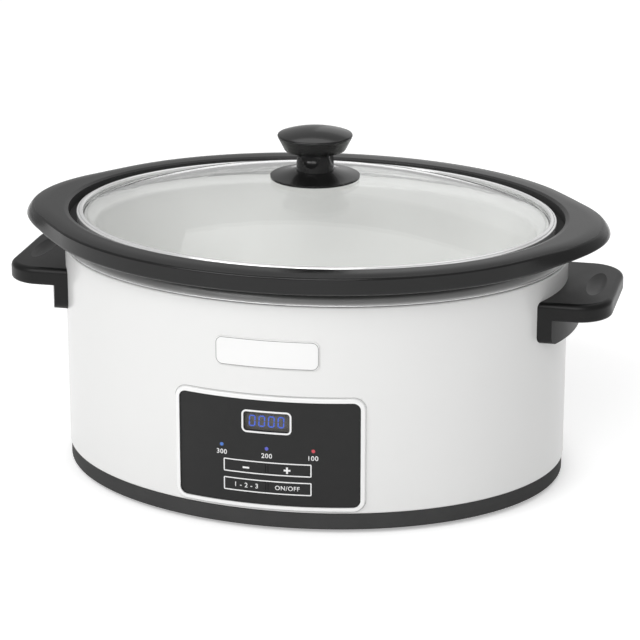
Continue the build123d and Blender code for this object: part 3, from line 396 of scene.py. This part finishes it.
# Surfaces: every new piece is a grid of points made as whole arrays, rows along its section, columns round it
def roundProfile(corners, radii, steps=6):
    # each inner corner becomes an arc about the point that lies its radius from both straight runs
    corners = np.asarray(corners, float)
    path = [corners[:1]]
    for before, corner, after, radius in zip(corners[:-2], corners[1:-1], corners[2:], radii):
        towards = (before - corner) / np.linalg.norm(before - corner)
        onwards = (after - corner) / np.linalg.norm(after - corner)
        inner = math.acos(np.clip(towards @ onwards, -1, 1))
        middle = (towards + onwards) / np.linalg.norm(towards + onwards)
        centre = corner + middle * radius / math.sin(inner / 2)
        reach = radius / math.tan(inner / 2)
        first, last = corner + towards * reach - centre, corner + onwards * reach - centre
        turn = math.pi - inner
        share = np.linspace(0, 1, steps + 1)[:, None]
        arc = (np.sin((1 - share) * turn) * first + np.sin(share * turn) * last) / math.sin(turn)
        path.append(centre + arc)
    path.append(corners[-1:])
    return np.concatenate(path)


def fillRuns(path, spacing, hold):
    # straight runs get a row close to each end, which keeps their shading flat, and even rows between
    parts = []
    for start, end in zip(path[:-1], path[1:]):
        length = np.linalg.norm(end - start)
        marks = np.zeros(1)
        if length > 3 * hold:
            between = np.linspace(hold, length - hold, max(2, int(length / spacing) + 1))
            marks = np.concatenate([marks, between / length])
        parts.append(start + marks[:, None] * (end - start))
    return np.concatenate(parts + [path[-1:]])


def ovalRows(rows, columns):
    # stacked ovals: point = (halfLength cos t, halfDepth sin t, height)
    turn = np.linspace(0, 2 * np.pi, columns, endpoint=False)
    rows = np.asarray(rows, float)
    flat = np.ones_like(turn)
    return np.stack([np.outer(rows[:, 0], np.cos(turn)), np.outer(rows[:, 1], np.sin(turn)),
                     np.outer(rows[:, 2], flat)], axis=-1)


def closeOver(oval, shares, height):
    # one oval shrinks by each share towards the axis, at one height
    return oval * np.array([1, 1, 0]) * np.array(shares)[:, None, None] + np.array([0, 0, height])


def quadsOf(index):
    # four neighbours in the grid make one face
    return np.stack([index[:-1, :-1], index[:-1, 1:], index[1:, 1:], index[1:, :-1]], axis=-1)


def addPiece(name, mesh):
    piece = bpy.data.objects.new(name, mesh)
    bpy.context.scene.collection.objects.link(piece)
    return piece


def gridPiece(name, grid, wrapRows=False, keep=None, merge=1e-6):
    # columns always close round; double points at the poles are merged
    rows, columns = grid.shape[:2]
    index = np.arange(rows * columns).reshape(rows, columns)
    if wrapRows:
        index = np.concatenate([index, index[:1]])
    quads = quadsOf(np.concatenate([index, index[:, :1]], axis=1))
    quads = quads.reshape(-1, 4) if keep is None else quads[keep]
    mesh = bpy.data.meshes.new(name)
    mesh.from_pydata(grid.reshape(-1, 3).tolist(), [], quads.tolist())
    work = bmesh.new()
    work.from_mesh(mesh)
    bmesh.ops.remove_doubles(work, verts=work.verts, dist=merge)
    loose = [vert for vert in work.verts if not vert.link_faces]
    bmesh.ops.delete(work, geom=loose, context="VERTS")
    work.to_mesh(mesh)
    work.free()
    mesh.polygons.foreach_set("use_smooth", np.ones(len(mesh.polygons), bool))
    return addPiece(name, mesh)


def facesOf(piece, wanted):
    # one row of three numbers for each face, its center or its normal
    values = np.empty(len(piece.data.polygons) * 3)
    piece.data.polygons.foreach_get(wanted, values)
    return values.reshape(-1, 3)


def paintFaces(piece, finishNames, index):
    # index 0 keeps the piece's own finish, and each next number takes the next name
    for name in finishNames:
        piece.data.materials.append(materials[name])
    piece.data.polygons.foreach_set("material_index", index.astype(np.int32))


def dress(piece, material, body, slot, *stands):
    piece.data.materials.append(materials[material])
    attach(piece, body)
    if stands:
        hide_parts(*stands)
    print(piece.name, "made with", len(piece.data.polygons), "faces")


def thicken(piece, wall):
    solid = piece.modifiers.new("wall", "SOLIDIFY")
    solid.thickness = wall
    solid.offset = -1


# Shell: one painted sheet, its lips turned in at top and bottom, with openings for the panel and the gland
shellLow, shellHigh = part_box("outer_shell")
bezelLow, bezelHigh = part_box("panel_bezel")
shell = {
    "halfLength": shellHigh.x,
    "halfDepth": shellHigh.y,
    "bottom": shellLow.z,
    "top": shellHigh.z,
    "swell": 0.9 * mm,
    "lip": 5 * mm,
    "edge": 1.3 * mm,
    "wall": 0.9 * mm,
    "rowStep": 2.4 * mm,
    "hold": 0.5 * mm,
    "columns": 480,
    "windowInset": 0.9 * mm,
    "windowCorner": 7.1 * mm,
    "glandHole": 6.6 * mm,
}


def familyRows(profile, swell=0.0):
    # offsets from the shell's oval become half lengths and half depths
    offset, height = profile.T
    return np.column_stack([shell["halfLength"] + swell + offset, shell["halfDepth"] + offset, height])


def frontSpan(low, high):
    # middle and half size of a box as (across, up)
    low, high = np.array([low.x, low.z]), np.array([high.x, high.z])
    return (low + high) / 2, (high - low) / 2


def boxDistance(points, centre, half, corner):
    # signed distance to a rectangle with round corners, and the way out of it
    away = points - centre
    over = np.abs(away) - (half - corner)
    outside = np.linalg.norm(np.maximum(over, 0), axis=-1)
    distance = outside + np.minimum(over.max(axis=-1), 0) - corner
    steep = np.where(over > 0, over, 0)
    flat = np.where(over == over.max(axis=-1, keepdims=True), 1.0, 0.0)
    way = np.where((over.max(axis=-1, keepdims=True) > 0), steep, flat)
    way = way / np.linalg.norm(way, axis=-1, keepdims=True) * np.where(away < 0, -1, 1)
    return distance, way


def makeShell():
    # the section, an upright wall between two turned-in lips, goes round as stacked ovals
    lip, edge = shell["lip"], shell["edge"]
    corners = [(-lip, shell["bottom"]), (0, shell["bottom"]), (0, shell["top"]), (-lip, shell["top"])]
    profile = fillRuns(roundProfile(corners, (edge, edge)), shell["rowStep"], shell["hold"])
    grid = ovalRows(familyRows(profile, shell["swell"]), shell["columns"])
    flat = grid[..., [0, 2]]
    window, windowHalf = frontSpan(bezelLow, bezelHigh)
    gland, hole = frontSpan(*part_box("cord_gland"))[0], shell["glandHole"]
    front, frontWay = boxDistance(flat, window, windowHalf - shell["windowInset"], shell["windowCorner"])
    rear, rearWay = boxDistance(flat, gland, np.full(2, hole), hole)
    ahead = grid[..., 1] < 0
    distance = np.where(ahead, front, rear)
    way = np.where(ahead[..., None], frontWay, rearWay)
    around = np.concatenate([distance, distance[:, :1]], axis=1)
    centres = (around[:-1, :-1] + around[1:, :-1] + around[:-1, 1:] + around[1:, 1:]) / 4
    keep = centres > 0
    cut = ~keep
    # a point is on the rim of an opening when some faces round it stay and some go
    touched = np.zeros(distance.shape, int)
    for rowShift in (0, 1):
        for columnShift in (0, 1):
            touched[rowShift:rowShift + len(cut)] += np.roll(cut, columnShift, axis=1)
    rim = (touched > 0) & (touched < 4)
    # such a point slides onto the opening's edge, and back onto the oval
    flat = np.where(rim[..., None], flat - way * distance[..., None], flat)
    side = np.where(ahead, -1, 1)
    across = flat[..., 0] / (shell["halfLength"] + shell["swell"])
    depth = side * shell["halfDepth"] * np.sqrt(np.clip(1 - across ** 2, 0, 1))
    grid = np.where(rim[..., None], np.stack([flat[..., 0], depth, flat[..., 1]], axis=-1), grid)
    piece = gridPiece("shellWrap", grid, keep=keep)
    thicken(piece, shell["wall"])
    dress(piece, "whiteEnamel", "housing", "white_paint", "outer_shell")


makeShell()


# Well: a pressed pan whose rolled collar shows between the shell and the crock
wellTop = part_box("heating_well")[1].z
well = {
    "collarFoot": shellHigh.z,
    "top": wellTop,
    "seam": 0.45 * mm,
    "seamEdge": 0.12 * mm,
    "tuck": -4 * mm,
    "bead": 0.42 * mm,
    "beadTurn": (-100, 65),
    "beadSteps": 10,
    "collarStep": 0.2 * mm,
    "leanFoot": 4,
    "leanTop": 75,
    "leanSteps": 24,
    "innerEdge": -12 * mm,
    "innerRoll": 1.2 * mm,
    "floor": 36.8 * mm,
    "floorEdge": -38 * mm,
    "floorRun": 40 * mm,
    "floorRoll": 13 * mm,
    "floorShares": (0.8, 0.5, 0.25, 0.0),
    "wall": 0.8 * mm,
    "arcSteps": 12,
    "rowStep": 6 * mm,
    "hold": 0.2 * mm,
    "columns": 288,
}


def makeWell():
    foot, top, seam, bead = well["collarFoot"], well["top"], well["seam"], well["bead"]
    # a small half-round bead stands on the seam above the shell; the collar's lean grows evenly along its arc
    start = foot + seam + 2 * bead
    turn = np.radians(np.linspace(*well["beadTurn"], well["beadSteps"]))
    roll = np.column_stack([-seam - bead + bead * np.cos(turn), foot + seam + bead + bead * np.sin(turn)])
    tuck = np.array([(well["tuck"], foot + seam)])
    lean = np.radians(np.linspace(well["leanFoot"], well["leanTop"], well["leanSteps"]))
    radius = (top - start) / (np.sin(lean[-1]) - np.sin(lean[0]))
    collar = np.column_stack([-seam - well["collarStep"] - radius * (np.cos(lean[0]) - np.cos(lean)),
                              start + radius * (np.sin(lean) - np.sin(lean[0]))])
    floor, floorEdge = well["floor"], well["floorEdge"]
    corners = [collar[-1], (well["innerEdge"], top), (floorEdge, floor),
               (floorEdge - well["floorRun"], floor)]
    inside = roundProfile(corners, (well["innerRoll"], well["floorRoll"]), well["arcSteps"])
    inside = fillRuns(inside, well["rowStep"], well["hold"])
    profile = np.concatenate([tuck, roll, collar[:-1], inside])
    grid = ovalRows(familyRows(profile, shell["swell"]), well["columns"])
    piece = gridPiece("wellPan", np.concatenate([grid, closeOver(grid[-1:], well["floorShares"], floor)]))
    thicken(piece, well["wall"])
    dress(piece, "collarSteel", "housing", "well_metal", "heating_well")
    # the bead is painted in a much brighter steel than the rest of the same pan, a painted highlight, and the
    # seam under it is grey
    height = facesOf(piece, "center")[:, 2]
    beadHighlight = (height > foot) & (height < start)
    onSeam = (height > foot) & (height < foot + seam + well["seamEdge"])
    paintFaces(piece, ("ringSteel", "badgeGrey"), beadHighlight.astype(int) + onSeam)


makeWell()


# Crock: glazed pot; the rim is the outer hull of an oval and two lug circles, inset along its own normal
crockLow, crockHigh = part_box("crock")
lidRingLow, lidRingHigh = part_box("lid_ring")
crock = {
    "rimHalfLength": 193.3 * mm,
    "rimHalfDepth": crockHigh.y,
    "rimTop": crockHigh.z + 0.8 * mm,
    "rimFoot": wellTop,
    "footRun": 9 * mm,
    "footRoll": 1.8 * mm,
    "draft": 0.8 * mm,
    "creaseRoll": 1.6 * mm,
    "crownWidth": 5.8 * mm,
    "crownDrop": 1.35 * mm,
    "crownBlend": 44 * mm,
    "crownRun": 6 * mm,
    "lugCentre": 118 * mm,
    "lugRadius": 90 * mm,
    "lugRise": 4.5 * mm,
    "lugRiseFrom": 160 * mm,
    "lugDraft": 3.6 * mm,
    "lugDraftFrom": 155 * mm,
    "recessGap": (6.0 * mm, 2.2 * mm),
    "recessRun": 1 * mm,
    "recessBevel": 3.0 * mm,
    "recessDrop": 0.8 * mm,
    "bevelRoll": 2 * mm,
    "recessRoll": 0.4 * mm,
    "seat": lidRingLow.z,
    "seatRoll": 0.8 * mm,
    "mouth": -5.5 * mm,
    "mouthRoll": 1.6 * mm,
    "cavityTop": -22 * mm,
    "cavityTopRoll": 4 * mm,
    "cavityFloor": 47.3 * mm,
    "cavityEdge": -46 * mm,
    "cavityRun": -90 * mm,
    "cavityRoll": 22 * mm,
    "cavityShares": (0.75, 0.5, 0.25, 0.0),
    "wall": 7.5 * mm,
    "neck": 3 * mm,
    "neckRoll": 1.2 * mm,
    "bottom": crockLow.z,
    "bottomEdge": -40.2 * mm,
    "bottomRun": 40 * mm,
    "bottomRoll": 16 * mm,
    "bottomShares": (0.0, 0.3, 0.6, 0.85),
    # how far the bare clay reaches past the recess, under the seat and under the recess's upper edge
    "bareSpan": (0.3 * mm, 1 * mm, 0.5 * mm),
    "facesUp": 0.5,
    "arcSteps": 8,
    "rimArcSteps": 10,
    # row spacing and hold
    "outsideRows": (8 * mm, 0.8 * mm),
    "rimRows": (1.6 * mm, 0.3 * mm),
    "insideRows": (6 * mm, 0.5 * mm),
    "outlineSteps": 8001,
    "outlineLap": 0.02,
    "columns": 360,
}


def rimOutline(columns):
    # for each outward direction the farther of the oval and the lug circle; straight runs fill between them
    way = np.linspace(-crock["outlineLap"], 2 * np.pi + crock["outlineLap"], crock["outlineSteps"])
    long, deep, lug = crock["rimHalfLength"], crock["rimHalfDepth"], crock["lugRadius"]
    ovalReach = np.hypot(long * np.cos(way), deep * np.sin(way))
    lugReach = crock["lugCentre"] * np.abs(np.cos(way)) + lug
    onLug = lugReach > ovalReach
    x = np.where(onLug, crock["lugCentre"] * np.sign(np.cos(way)) + lug * np.cos(way),
                 long ** 2 * np.cos(way) / ovalReach)
    y = np.where(onLug, lug * np.sin(way), deep ** 2 * np.sin(way) / ovalReach)
    angle = np.unwrap(np.arctan2(y, x))
    turn = np.linspace(0, 2 * np.pi, columns, endpoint=False)
    wanted = np.unwrap(np.arctan2(shell["halfDepth"] * np.sin(turn), shell["halfLength"] * np.cos(turn)))
    picked = [np.interp(wanted, angle, values) for values in (x, y, np.cos(way), np.sin(way))]
    return np.stack(picked[:2], -1), np.stack(picked[2:], -1)


def crockOutside():
    # from the middle of the underside up the outer wall to the rim's foot
    wallOut, bottom, edge = crock["cavityTop"] + crock["wall"], crock["bottom"], crock["bottomEdge"]
    corners = [(edge - crock["bottomRun"], bottom), (edge, bottom), (wallOut, crock["rimFoot"]),
               (wallOut + crock["neck"], crock["rimFoot"])]
    profile = roundProfile(corners, (crock["bottomRoll"], crock["neckRoll"]), crock["arcSteps"])
    wall = ovalRows(familyRows(fillRuns(profile, *crock["outsideRows"])), crock["columns"])
    return np.concatenate([closeOver(wall[:1], crock["bottomShares"], bottom), wall])


def crockRim():
    edge, outward = rimOutline(crock["columns"])
    foot, top = crock["rimFoot"], crock["rimTop"]
    # the flat top bends down in one long arc to a small crease, and the face slopes out from it to the foot
    crease, draft = top - crock["crownDrop"], crock["draft"]
    shoulder = draft + crock["crownWidth"]
    corners = [(crock["footRun"], foot), (0, foot), (draft, crease), (shoulder, top),
               (shoulder + crock["crownRun"], top)]
    radii = (crock["footRoll"], crock["creaseRoll"], crock["crownBlend"])
    section = fillRuns(roundProfile(corners, radii, crock["rimArcSteps"]), *crock["rimRows"])
    # at the lifting ends the foot rises and the face bulges, by the smooth step 3 s^2 - 2 s^3 towards the tip
    starts = np.array([[crock["lugRiseFrom"]], [crock["lugDraftFrom"]]])
    reach = np.clip((np.abs(edge[:, 0]) - starts) / (crockHigh.x - starts), 0, 1)
    rise, slope = reach ** 2 * (3 - 2 * reach)
    below = np.clip((crease - section[:, 1]) / (crease - foot), 0, 1)
    inset = section[:, :1] + np.outer((1 - below) ** 2, crock["lugDraft"] * slope)
    flat = edge[None] - outward[None] * inset[..., None]
    height = section[:, 1, None] + np.outer(below, crock["lugRise"] * rise)
    return np.concatenate([flat, height[..., None]], axis=-1)


def crockInside(recess, low, mouth):
    # from the rim's top down the recess, over the lid's seat, through the mouth and across the cavity's floor
    shellOval = np.array([shell["halfLength"], shell["halfDepth"]])
    top, seat, floor = crock["rimTop"], crock["seat"], crock["cavityFloor"]
    bevel = crock["recessBevel"]
    corners = [(*(recess + bevel + crock["recessRun"]), top), (*(recess + bevel), top), (*recess, low),
               (*recess, seat), (*mouth, seat), (*(shellOval + crock["cavityTop"]), crock["rimFoot"]),
               (*(shellOval + crock["cavityEdge"]), floor), (*(shellOval + crock["cavityRun"]), floor)]
    radii = (crock["bevelRoll"], crock["recessRoll"], crock["seatRoll"], crock["mouthRoll"],
             crock["cavityTopRoll"], crock["cavityRoll"])
    profile = fillRuns(roundProfile(corners, radii, crock["arcSteps"]), *crock["insideRows"])
    wall = ovalRows(profile, crock["columns"])
    return np.concatenate([wall, closeOver(wall[-1:], crock["cavityShares"], floor)])


def makeCrock():
    lidEdge = np.array(lidRingHigh[:2])
    recess, mouth = lidEdge + crock["recessGap"], lidEdge + crock["mouth"]
    low, seat = crock["rimTop"] - crock["recessDrop"], crock["seat"]
    rows = [crockOutside(), crockRim(), crockInside(recess, low, mouth)]
    piece = gridPiece("crockPot", np.concatenate(rows))
    dress(piece, "blackGlaze", "crock", "black_glaze", "crock")
    # the pale inner glaze starts at the mouth, and the seat the lid rests on is bare and matt
    centres, normals = facesOf(piece, "center"), facesOf(piece, "normal")
    flat, height = centres[:, :2], centres[:, 2]
    facesIn = ((flat * normals[:, :2]).sum(axis=1) < 0) | (normals[:, 2] > crock["facesUp"])
    inMouth = ((flat / mouth) ** 2).sum(axis=1) < 1
    past, under, upper = crock["bareSpan"]
    inRecess = ((flat / (recess + past)) ** 2).sum(axis=1) < 1
    pale = inMouth & facesIn & (height < seat)
    bare = inRecess & ~pale & (height > seat - under) & (height < low - upper)
    paintFaces(piece, ("paleGlaze", "bareClay"), pale + 2 * bare)


makeCrock()


# Lid ring: a rolled steel channel round the glass, a low outer band and a raised bead inside it
ring = {
    "halfLength": lidRingHigh.x,
    "halfDepth": lidRingHigh.y,
    "bottom": lidRingLow.z,
    "top": lidRingHigh.z,
    "width": 4.6 * mm,
    "band": 1.5 * mm,
    "bandDrop": 1.1 * mm,
    "sheet": 0.9 * mm,
    "channelTop": 183.7 * mm,
    "channelFoot": 179.5 * mm,
    "joint": 0.01 * mm,
    "rolls": np.array([0.5, 0.6, 0.25, 1.2, 1.2, 0.25, 0.3, 0.3, 0.25, 0.25]) * mm,
    "arcSteps": 5,
    "rowStep": 2 * mm,
    "hold": 0.12 * mm,
    "columns": 320,
}


def makeRing():
    bottom, top, width, band = ring["bottom"], ring["top"], ring["width"], ring["band"]
    shoulder, roof, foot = top - ring["bandDrop"], ring["channelTop"], ring["channelFoot"]
    inner, sheet = -width, -ring["sheet"]
    # the closed section, as offsets from the ring's oval, goes round as stacked ovals
    corners = [(-width / 2, bottom), (0, bottom), (0, shoulder), (-band, shoulder), (-band, top),
               (inner, top), (inner, roof), (sheet, roof), (sheet, foot), (inner, foot), (inner, bottom),
               (-width / 2 - ring["joint"], bottom)]
    section = roundProfile(corners, ring["rolls"], ring["arcSteps"])
    offset, height = fillRuns(section, ring["rowStep"], ring["hold"]).T
    rows = np.column_stack([ring["halfLength"] + offset, ring["halfDepth"] + offset, height])
    piece = gridPiece("lidBand", ovalRows(rows, ring["columns"]), wrapRows=True)
    dress(piece, "ringSteel", "lid", "steel", "lid_ring")


makeRing()


# Panel print: flat marks laid out in millimetres across and up the panel, then bent onto its oval front
panelPrint = {
    "front": 1.0 * mm,
    "lift": 0.04 * mm,
    "ink": 0.06 * mm,
    "badgeFront": 1.3 * mm,
    "badgeInset": 0.35,
    "badgeCorner": 4.6,
    "badgeLine": 0.35,
    # left, right, low, high, corner, line
    "displayFrame": (-17.4, 17.0, 70.6, 86.7, 3.5, 1.25),
    "keyBars": [(-30.4, 30.4, 41.1, 50.4, 0.9, 0.8), (-30.4, 30.4, 27.7, 37.1, 0.9, 0.8)],
    "signWidth": 4.6,
    "signLine": 1.3,
    "minusShift": (0.7, -0.7),
    "plusShift": (-1.3, -0.5),
    "lampWords": [("high_lamp", "300"), ("low_lamp", "200"), ("warm_lamp", "100")],
    "wordDrop": 5.2,
    "wordTall": 3.3,
    # key, words, shift across, height
    "keyWords": [("select_key", "1 - 2 - 3", 1.0, 3.3), ("power_key", "ON/OFF", -1.15, 3.05)],
    "capHeight": 0.7,
    "wordWeight": 0.022,
    "wordSpacing": 1.1,
    "bezelGap": 0.35,
    "bezelLine": 0.35,
    "bezelCorner": 9.0,
    "leastCorner": 0.2,
    "outlineSteps": 260,
    "barSteps": 5,
}


def bend(flat, offset):
    # (across, up) goes to the oval that lies offset outside the shell
    x, z = flat[..., 0], flat[..., 1]
    y = -(shell["halfDepth"] + offset) * np.sqrt(1 - (x / (shell["halfLength"] + offset)) ** 2)
    return np.stack([x, y, z], axis=-1)


def roundRectangle(left, right, low, high, corner):
    # even steps along four straight sides and four quarter circles
    turn = np.linspace(0, 2 * np.pi, panelPrint["outlineSteps"], endpoint=False)
    quarter = np.floor(turn / (np.pi / 2)).astype(int)
    share = turn / (np.pi / 2) - quarter
    middleX = np.array([right - corner, left + corner, left + corner, right - corner])
    middleZ = np.array([high - corner, high - corner, low + corner, low + corner])
    nextX, nextZ = np.roll(middleX, -1), np.roll(middleZ, -1)
    arc = np.clip(share * 2, 0, 1)
    slide = np.clip(share * 2 - 1, 0, 1)
    angle = (quarter + arc) * np.pi / 2
    x = middleX[quarter] + (nextX - middleX)[quarter] * slide + corner * np.cos(angle)
    z = middleZ[quarter] + (nextZ - middleZ)[quarter] * slide + corner * np.sin(angle)
    return np.column_stack([x, z])


def inkPiece(name, grids, body, finish="printWhite", front=panelPrint["front"]):
    # joins flat grids of (across, up) in millimetres into one printed piece
    points, faces, first = [], [], 0
    height = front + panelPrint["lift"] + panelPrint["ink"]
    for grid, wrap in grids:
        rows, columns = grid.shape[:2]
        index = first + np.arange(rows * columns).reshape(rows, columns)
        if wrap:
            index = np.concatenate([index, index[:, :1]], axis=1)
        faces.append(quadsOf(index).reshape(-1, 4))
        points.append(bend(grid * mm, height).reshape(-1, 3))
        first += rows * columns
    mesh = bpy.data.meshes.new(name)
    mesh.from_pydata(np.concatenate(points).tolist(), [], np.concatenate(faces).tolist())
    piece = addPiece(name, mesh)
    thicken(piece, panelPrint["ink"])
    dress(piece, finish, body, "white_plastic")


def outlineGrid(left, right, low, high, corner, line):
    # a band between a round rectangle and the same one set in by the line's width
    outer = roundRectangle(left, right, low, high, corner)
    corner = max(corner - line, panelPrint["leastCorner"])
    inner = roundRectangle(left + line, right - line, low + line, high - line, corner)
    return np.stack([outer, inner]), True


def barGrid(centre, width, tall):
    # an even grid about the centre
    across = np.linspace(-width / 2, width / 2, panelPrint["barSteps"]) + centre[0]
    up = np.array([-tall / 2, tall / 2]) + centre[1]
    return np.stack(np.meshgrid(across, up), axis=-1), False


def middleOf(node):
    # across and up, in millimetres
    return frontSpan(*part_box(node))[0] / mm


def faceFront(mesh, merge=1e-7):
    # flat shapes are merged and turned towards the front
    work = bmesh.new()
    work.from_mesh(mesh)
    bmesh.ops.remove_doubles(work, verts=work.verts, dist=merge)
    bmesh.ops.reverse_faces(work, faces=[face for face in work.faces if face.normal.y > 0])
    work.to_mesh(mesh)
    work.free()


def wordPiece(name, words, centre, tall, body):
    curve = bpy.data.curves.new(name, "FONT")
    curve.body = words
    curve.align_x = curve.align_y = "CENTER"
    curve.size = tall / panelPrint["capHeight"]
    curve.offset = panelPrint["wordWeight"] * tall
    curve.space_character = panelPrint["wordSpacing"]
    holder = addPiece(name + "Curve", curve)
    bpy.context.view_layer.update()
    mesh = bpy.data.meshes.new_from_object(holder.evaluated_get(bpy.context.evaluated_depsgraph_get()))
    bpy.data.objects.remove(holder)
    bpy.data.curves.remove(curve)
    flat = np.empty(len(mesh.vertices) * 3)
    mesh.vertices.foreach_get("co", flat)
    flat = flat.reshape(-1, 3)[:, :2]
    flat = flat - (flat.min(0) + flat.max(0)) / 2 + np.array(centre)
    bent = bend(flat * mm, panelPrint["front"] + panelPrint["lift"] + panelPrint["ink"])
    mesh.vertices.foreach_set("co", bent.ravel())
    faceFront(mesh)
    mesh.name = name
    piece = addPiece(name, mesh)
    thicken(piece, panelPrint["ink"])
    dress(piece, "printWhite", body, "white_plastic")


def edgesOf(low, high, grow):
    # left, right, low and high of a box in millimetres, grown on every side
    return low.x / mm - grow, high.x / mm + grow, low.z / mm - grow, high.z / mm + grow


def makePrint():
    outlines = [outlineGrid(*place) for place in [panelPrint["displayFrame"], *panelPrint["keyBars"]]]
    inkPiece("panelLines", outlines, "housing")
    edges = edgesOf(*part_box("badge_plate"), -panelPrint["badgeInset"])
    outline = outlineGrid(*edges, panelPrint["badgeCorner"], panelPrint["badgeLine"])
    inkPiece("badgeOutline", [outline], "housing", "badgeGrey", panelPrint["badgeFront"])
    # the joint between the bezel and the shell reads as a thin grey line
    edges = edgesOf(bezelLow, bezelHigh, panelPrint["bezelGap"] + panelPrint["bezelLine"])
    outline = outlineGrid(*edges, panelPrint["bezelCorner"], panelPrint["bezelLine"])
    inkPiece("bezelJoint", [outline], "housing", "jointGrey", 0)
    wide, line = panelPrint["signWidth"], panelPrint["signLine"]
    minus = middleOf("minus_key") + panelPrint["minusShift"]
    plus = middleOf("plus_key") + panelPrint["plusShift"]
    inkPiece("minusSign", [barGrid(minus, wide, line)], "minus_key")
    half = (wide - line) / 2
    upper, lower = (plus[0], plus[1] + line / 2 + half / 2), (plus[0], plus[1] - line / 2 - half / 2)
    bars = [barGrid(plus, wide, line), barGrid(upper, line, half), barGrid(lower, line, half)]
    inkPiece("plusSign", bars, "plus_key")
    for node, words in panelPrint["lampWords"]:
        x, z = middleOf(node)
        wordPiece(node + "Word", words, (x, z - panelPrint["wordDrop"]), panelPrint["wordTall"], "housing")
    for node, words, shift, tall in panelPrint["keyWords"]:
        x, z = middleOf(node)
        wordPiece(node + "Word", words, (x + shift, z), tall, node)


makePrint()


# Display: four slanted seven-segment digits on the front of the module, seen through the smoked window
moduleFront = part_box("display_module")[0].y
display = {
    "tall": 8.0,
    "wide": 4.6,
    "pitch": 6.6,
    "line": 0.85,
    "nick": 0.15,
    "slant": 0.04,
    "shift": (-0.9, -0.7),
    "gap": 0.08 * mm,
    "ink": 0.1 * mm,
    "digits": 4,
}


def makeDigits():
    line, nick, count = display["line"], display["nick"], display["digits"]
    right, up = (display["wide"] - line) / 2, (display["tall"] - line) / 2
    # each segment of a zero is a bar with pointed ends between two corners of the figure
    ends = np.array([[(-right, up), (right, up)], [(-right, -up), (right, -up)],
                     [(-right, 0), (-right, up)], [(right, 0), (right, up)],
                     [(-right, -up), (-right, 0)], [(right, -up), (right, 0)]], float)
    along = ends[:, 1] - ends[:, 0]
    along = along / np.linalg.norm(along, axis=1, keepdims=True)
    aside = np.stack([-along[:, 1], along[:, 0]], axis=-1) * line / 2
    tipA, tipB = ends[:, 0] + along * nick, ends[:, 1] - along * nick
    inA, inB = tipA + along * line / 2, tipB - along * line / 2
    bars = np.stack([tipA, inA - aside, inB - aside, tipB, inB + aside, inA + aside], axis=1)
    places = (np.arange(count) - (count - 1) / 2) * display["pitch"]
    shapes = bars[None] + np.stack([places, np.zeros_like(places)], axis=-1)[:, None, None]
    shapes = shapes.reshape(-1, 6, 2)
    shapes[..., 0] += shapes[..., 1] * display["slant"]
    flat = (shapes.reshape(-1, 2) + middleOf("display_module") + display["shift"]) * mm
    front = moduleFront - display["gap"] - display["ink"]
    points = np.column_stack([flat[:, 0], np.full(len(flat), front), flat[:, 1]])
    mesh = bpy.data.meshes.new("displayDigits")
    mesh.from_pydata(points.tolist(), [], np.arange(len(points)).reshape(-1, 6).tolist())
    faceFront(mesh)
    piece = addPiece("displayDigits", mesh)
    thicken(piece, display["ink"])
    dress(piece, "digitGlow", "housing", "blue_lamp")


makeDigits()
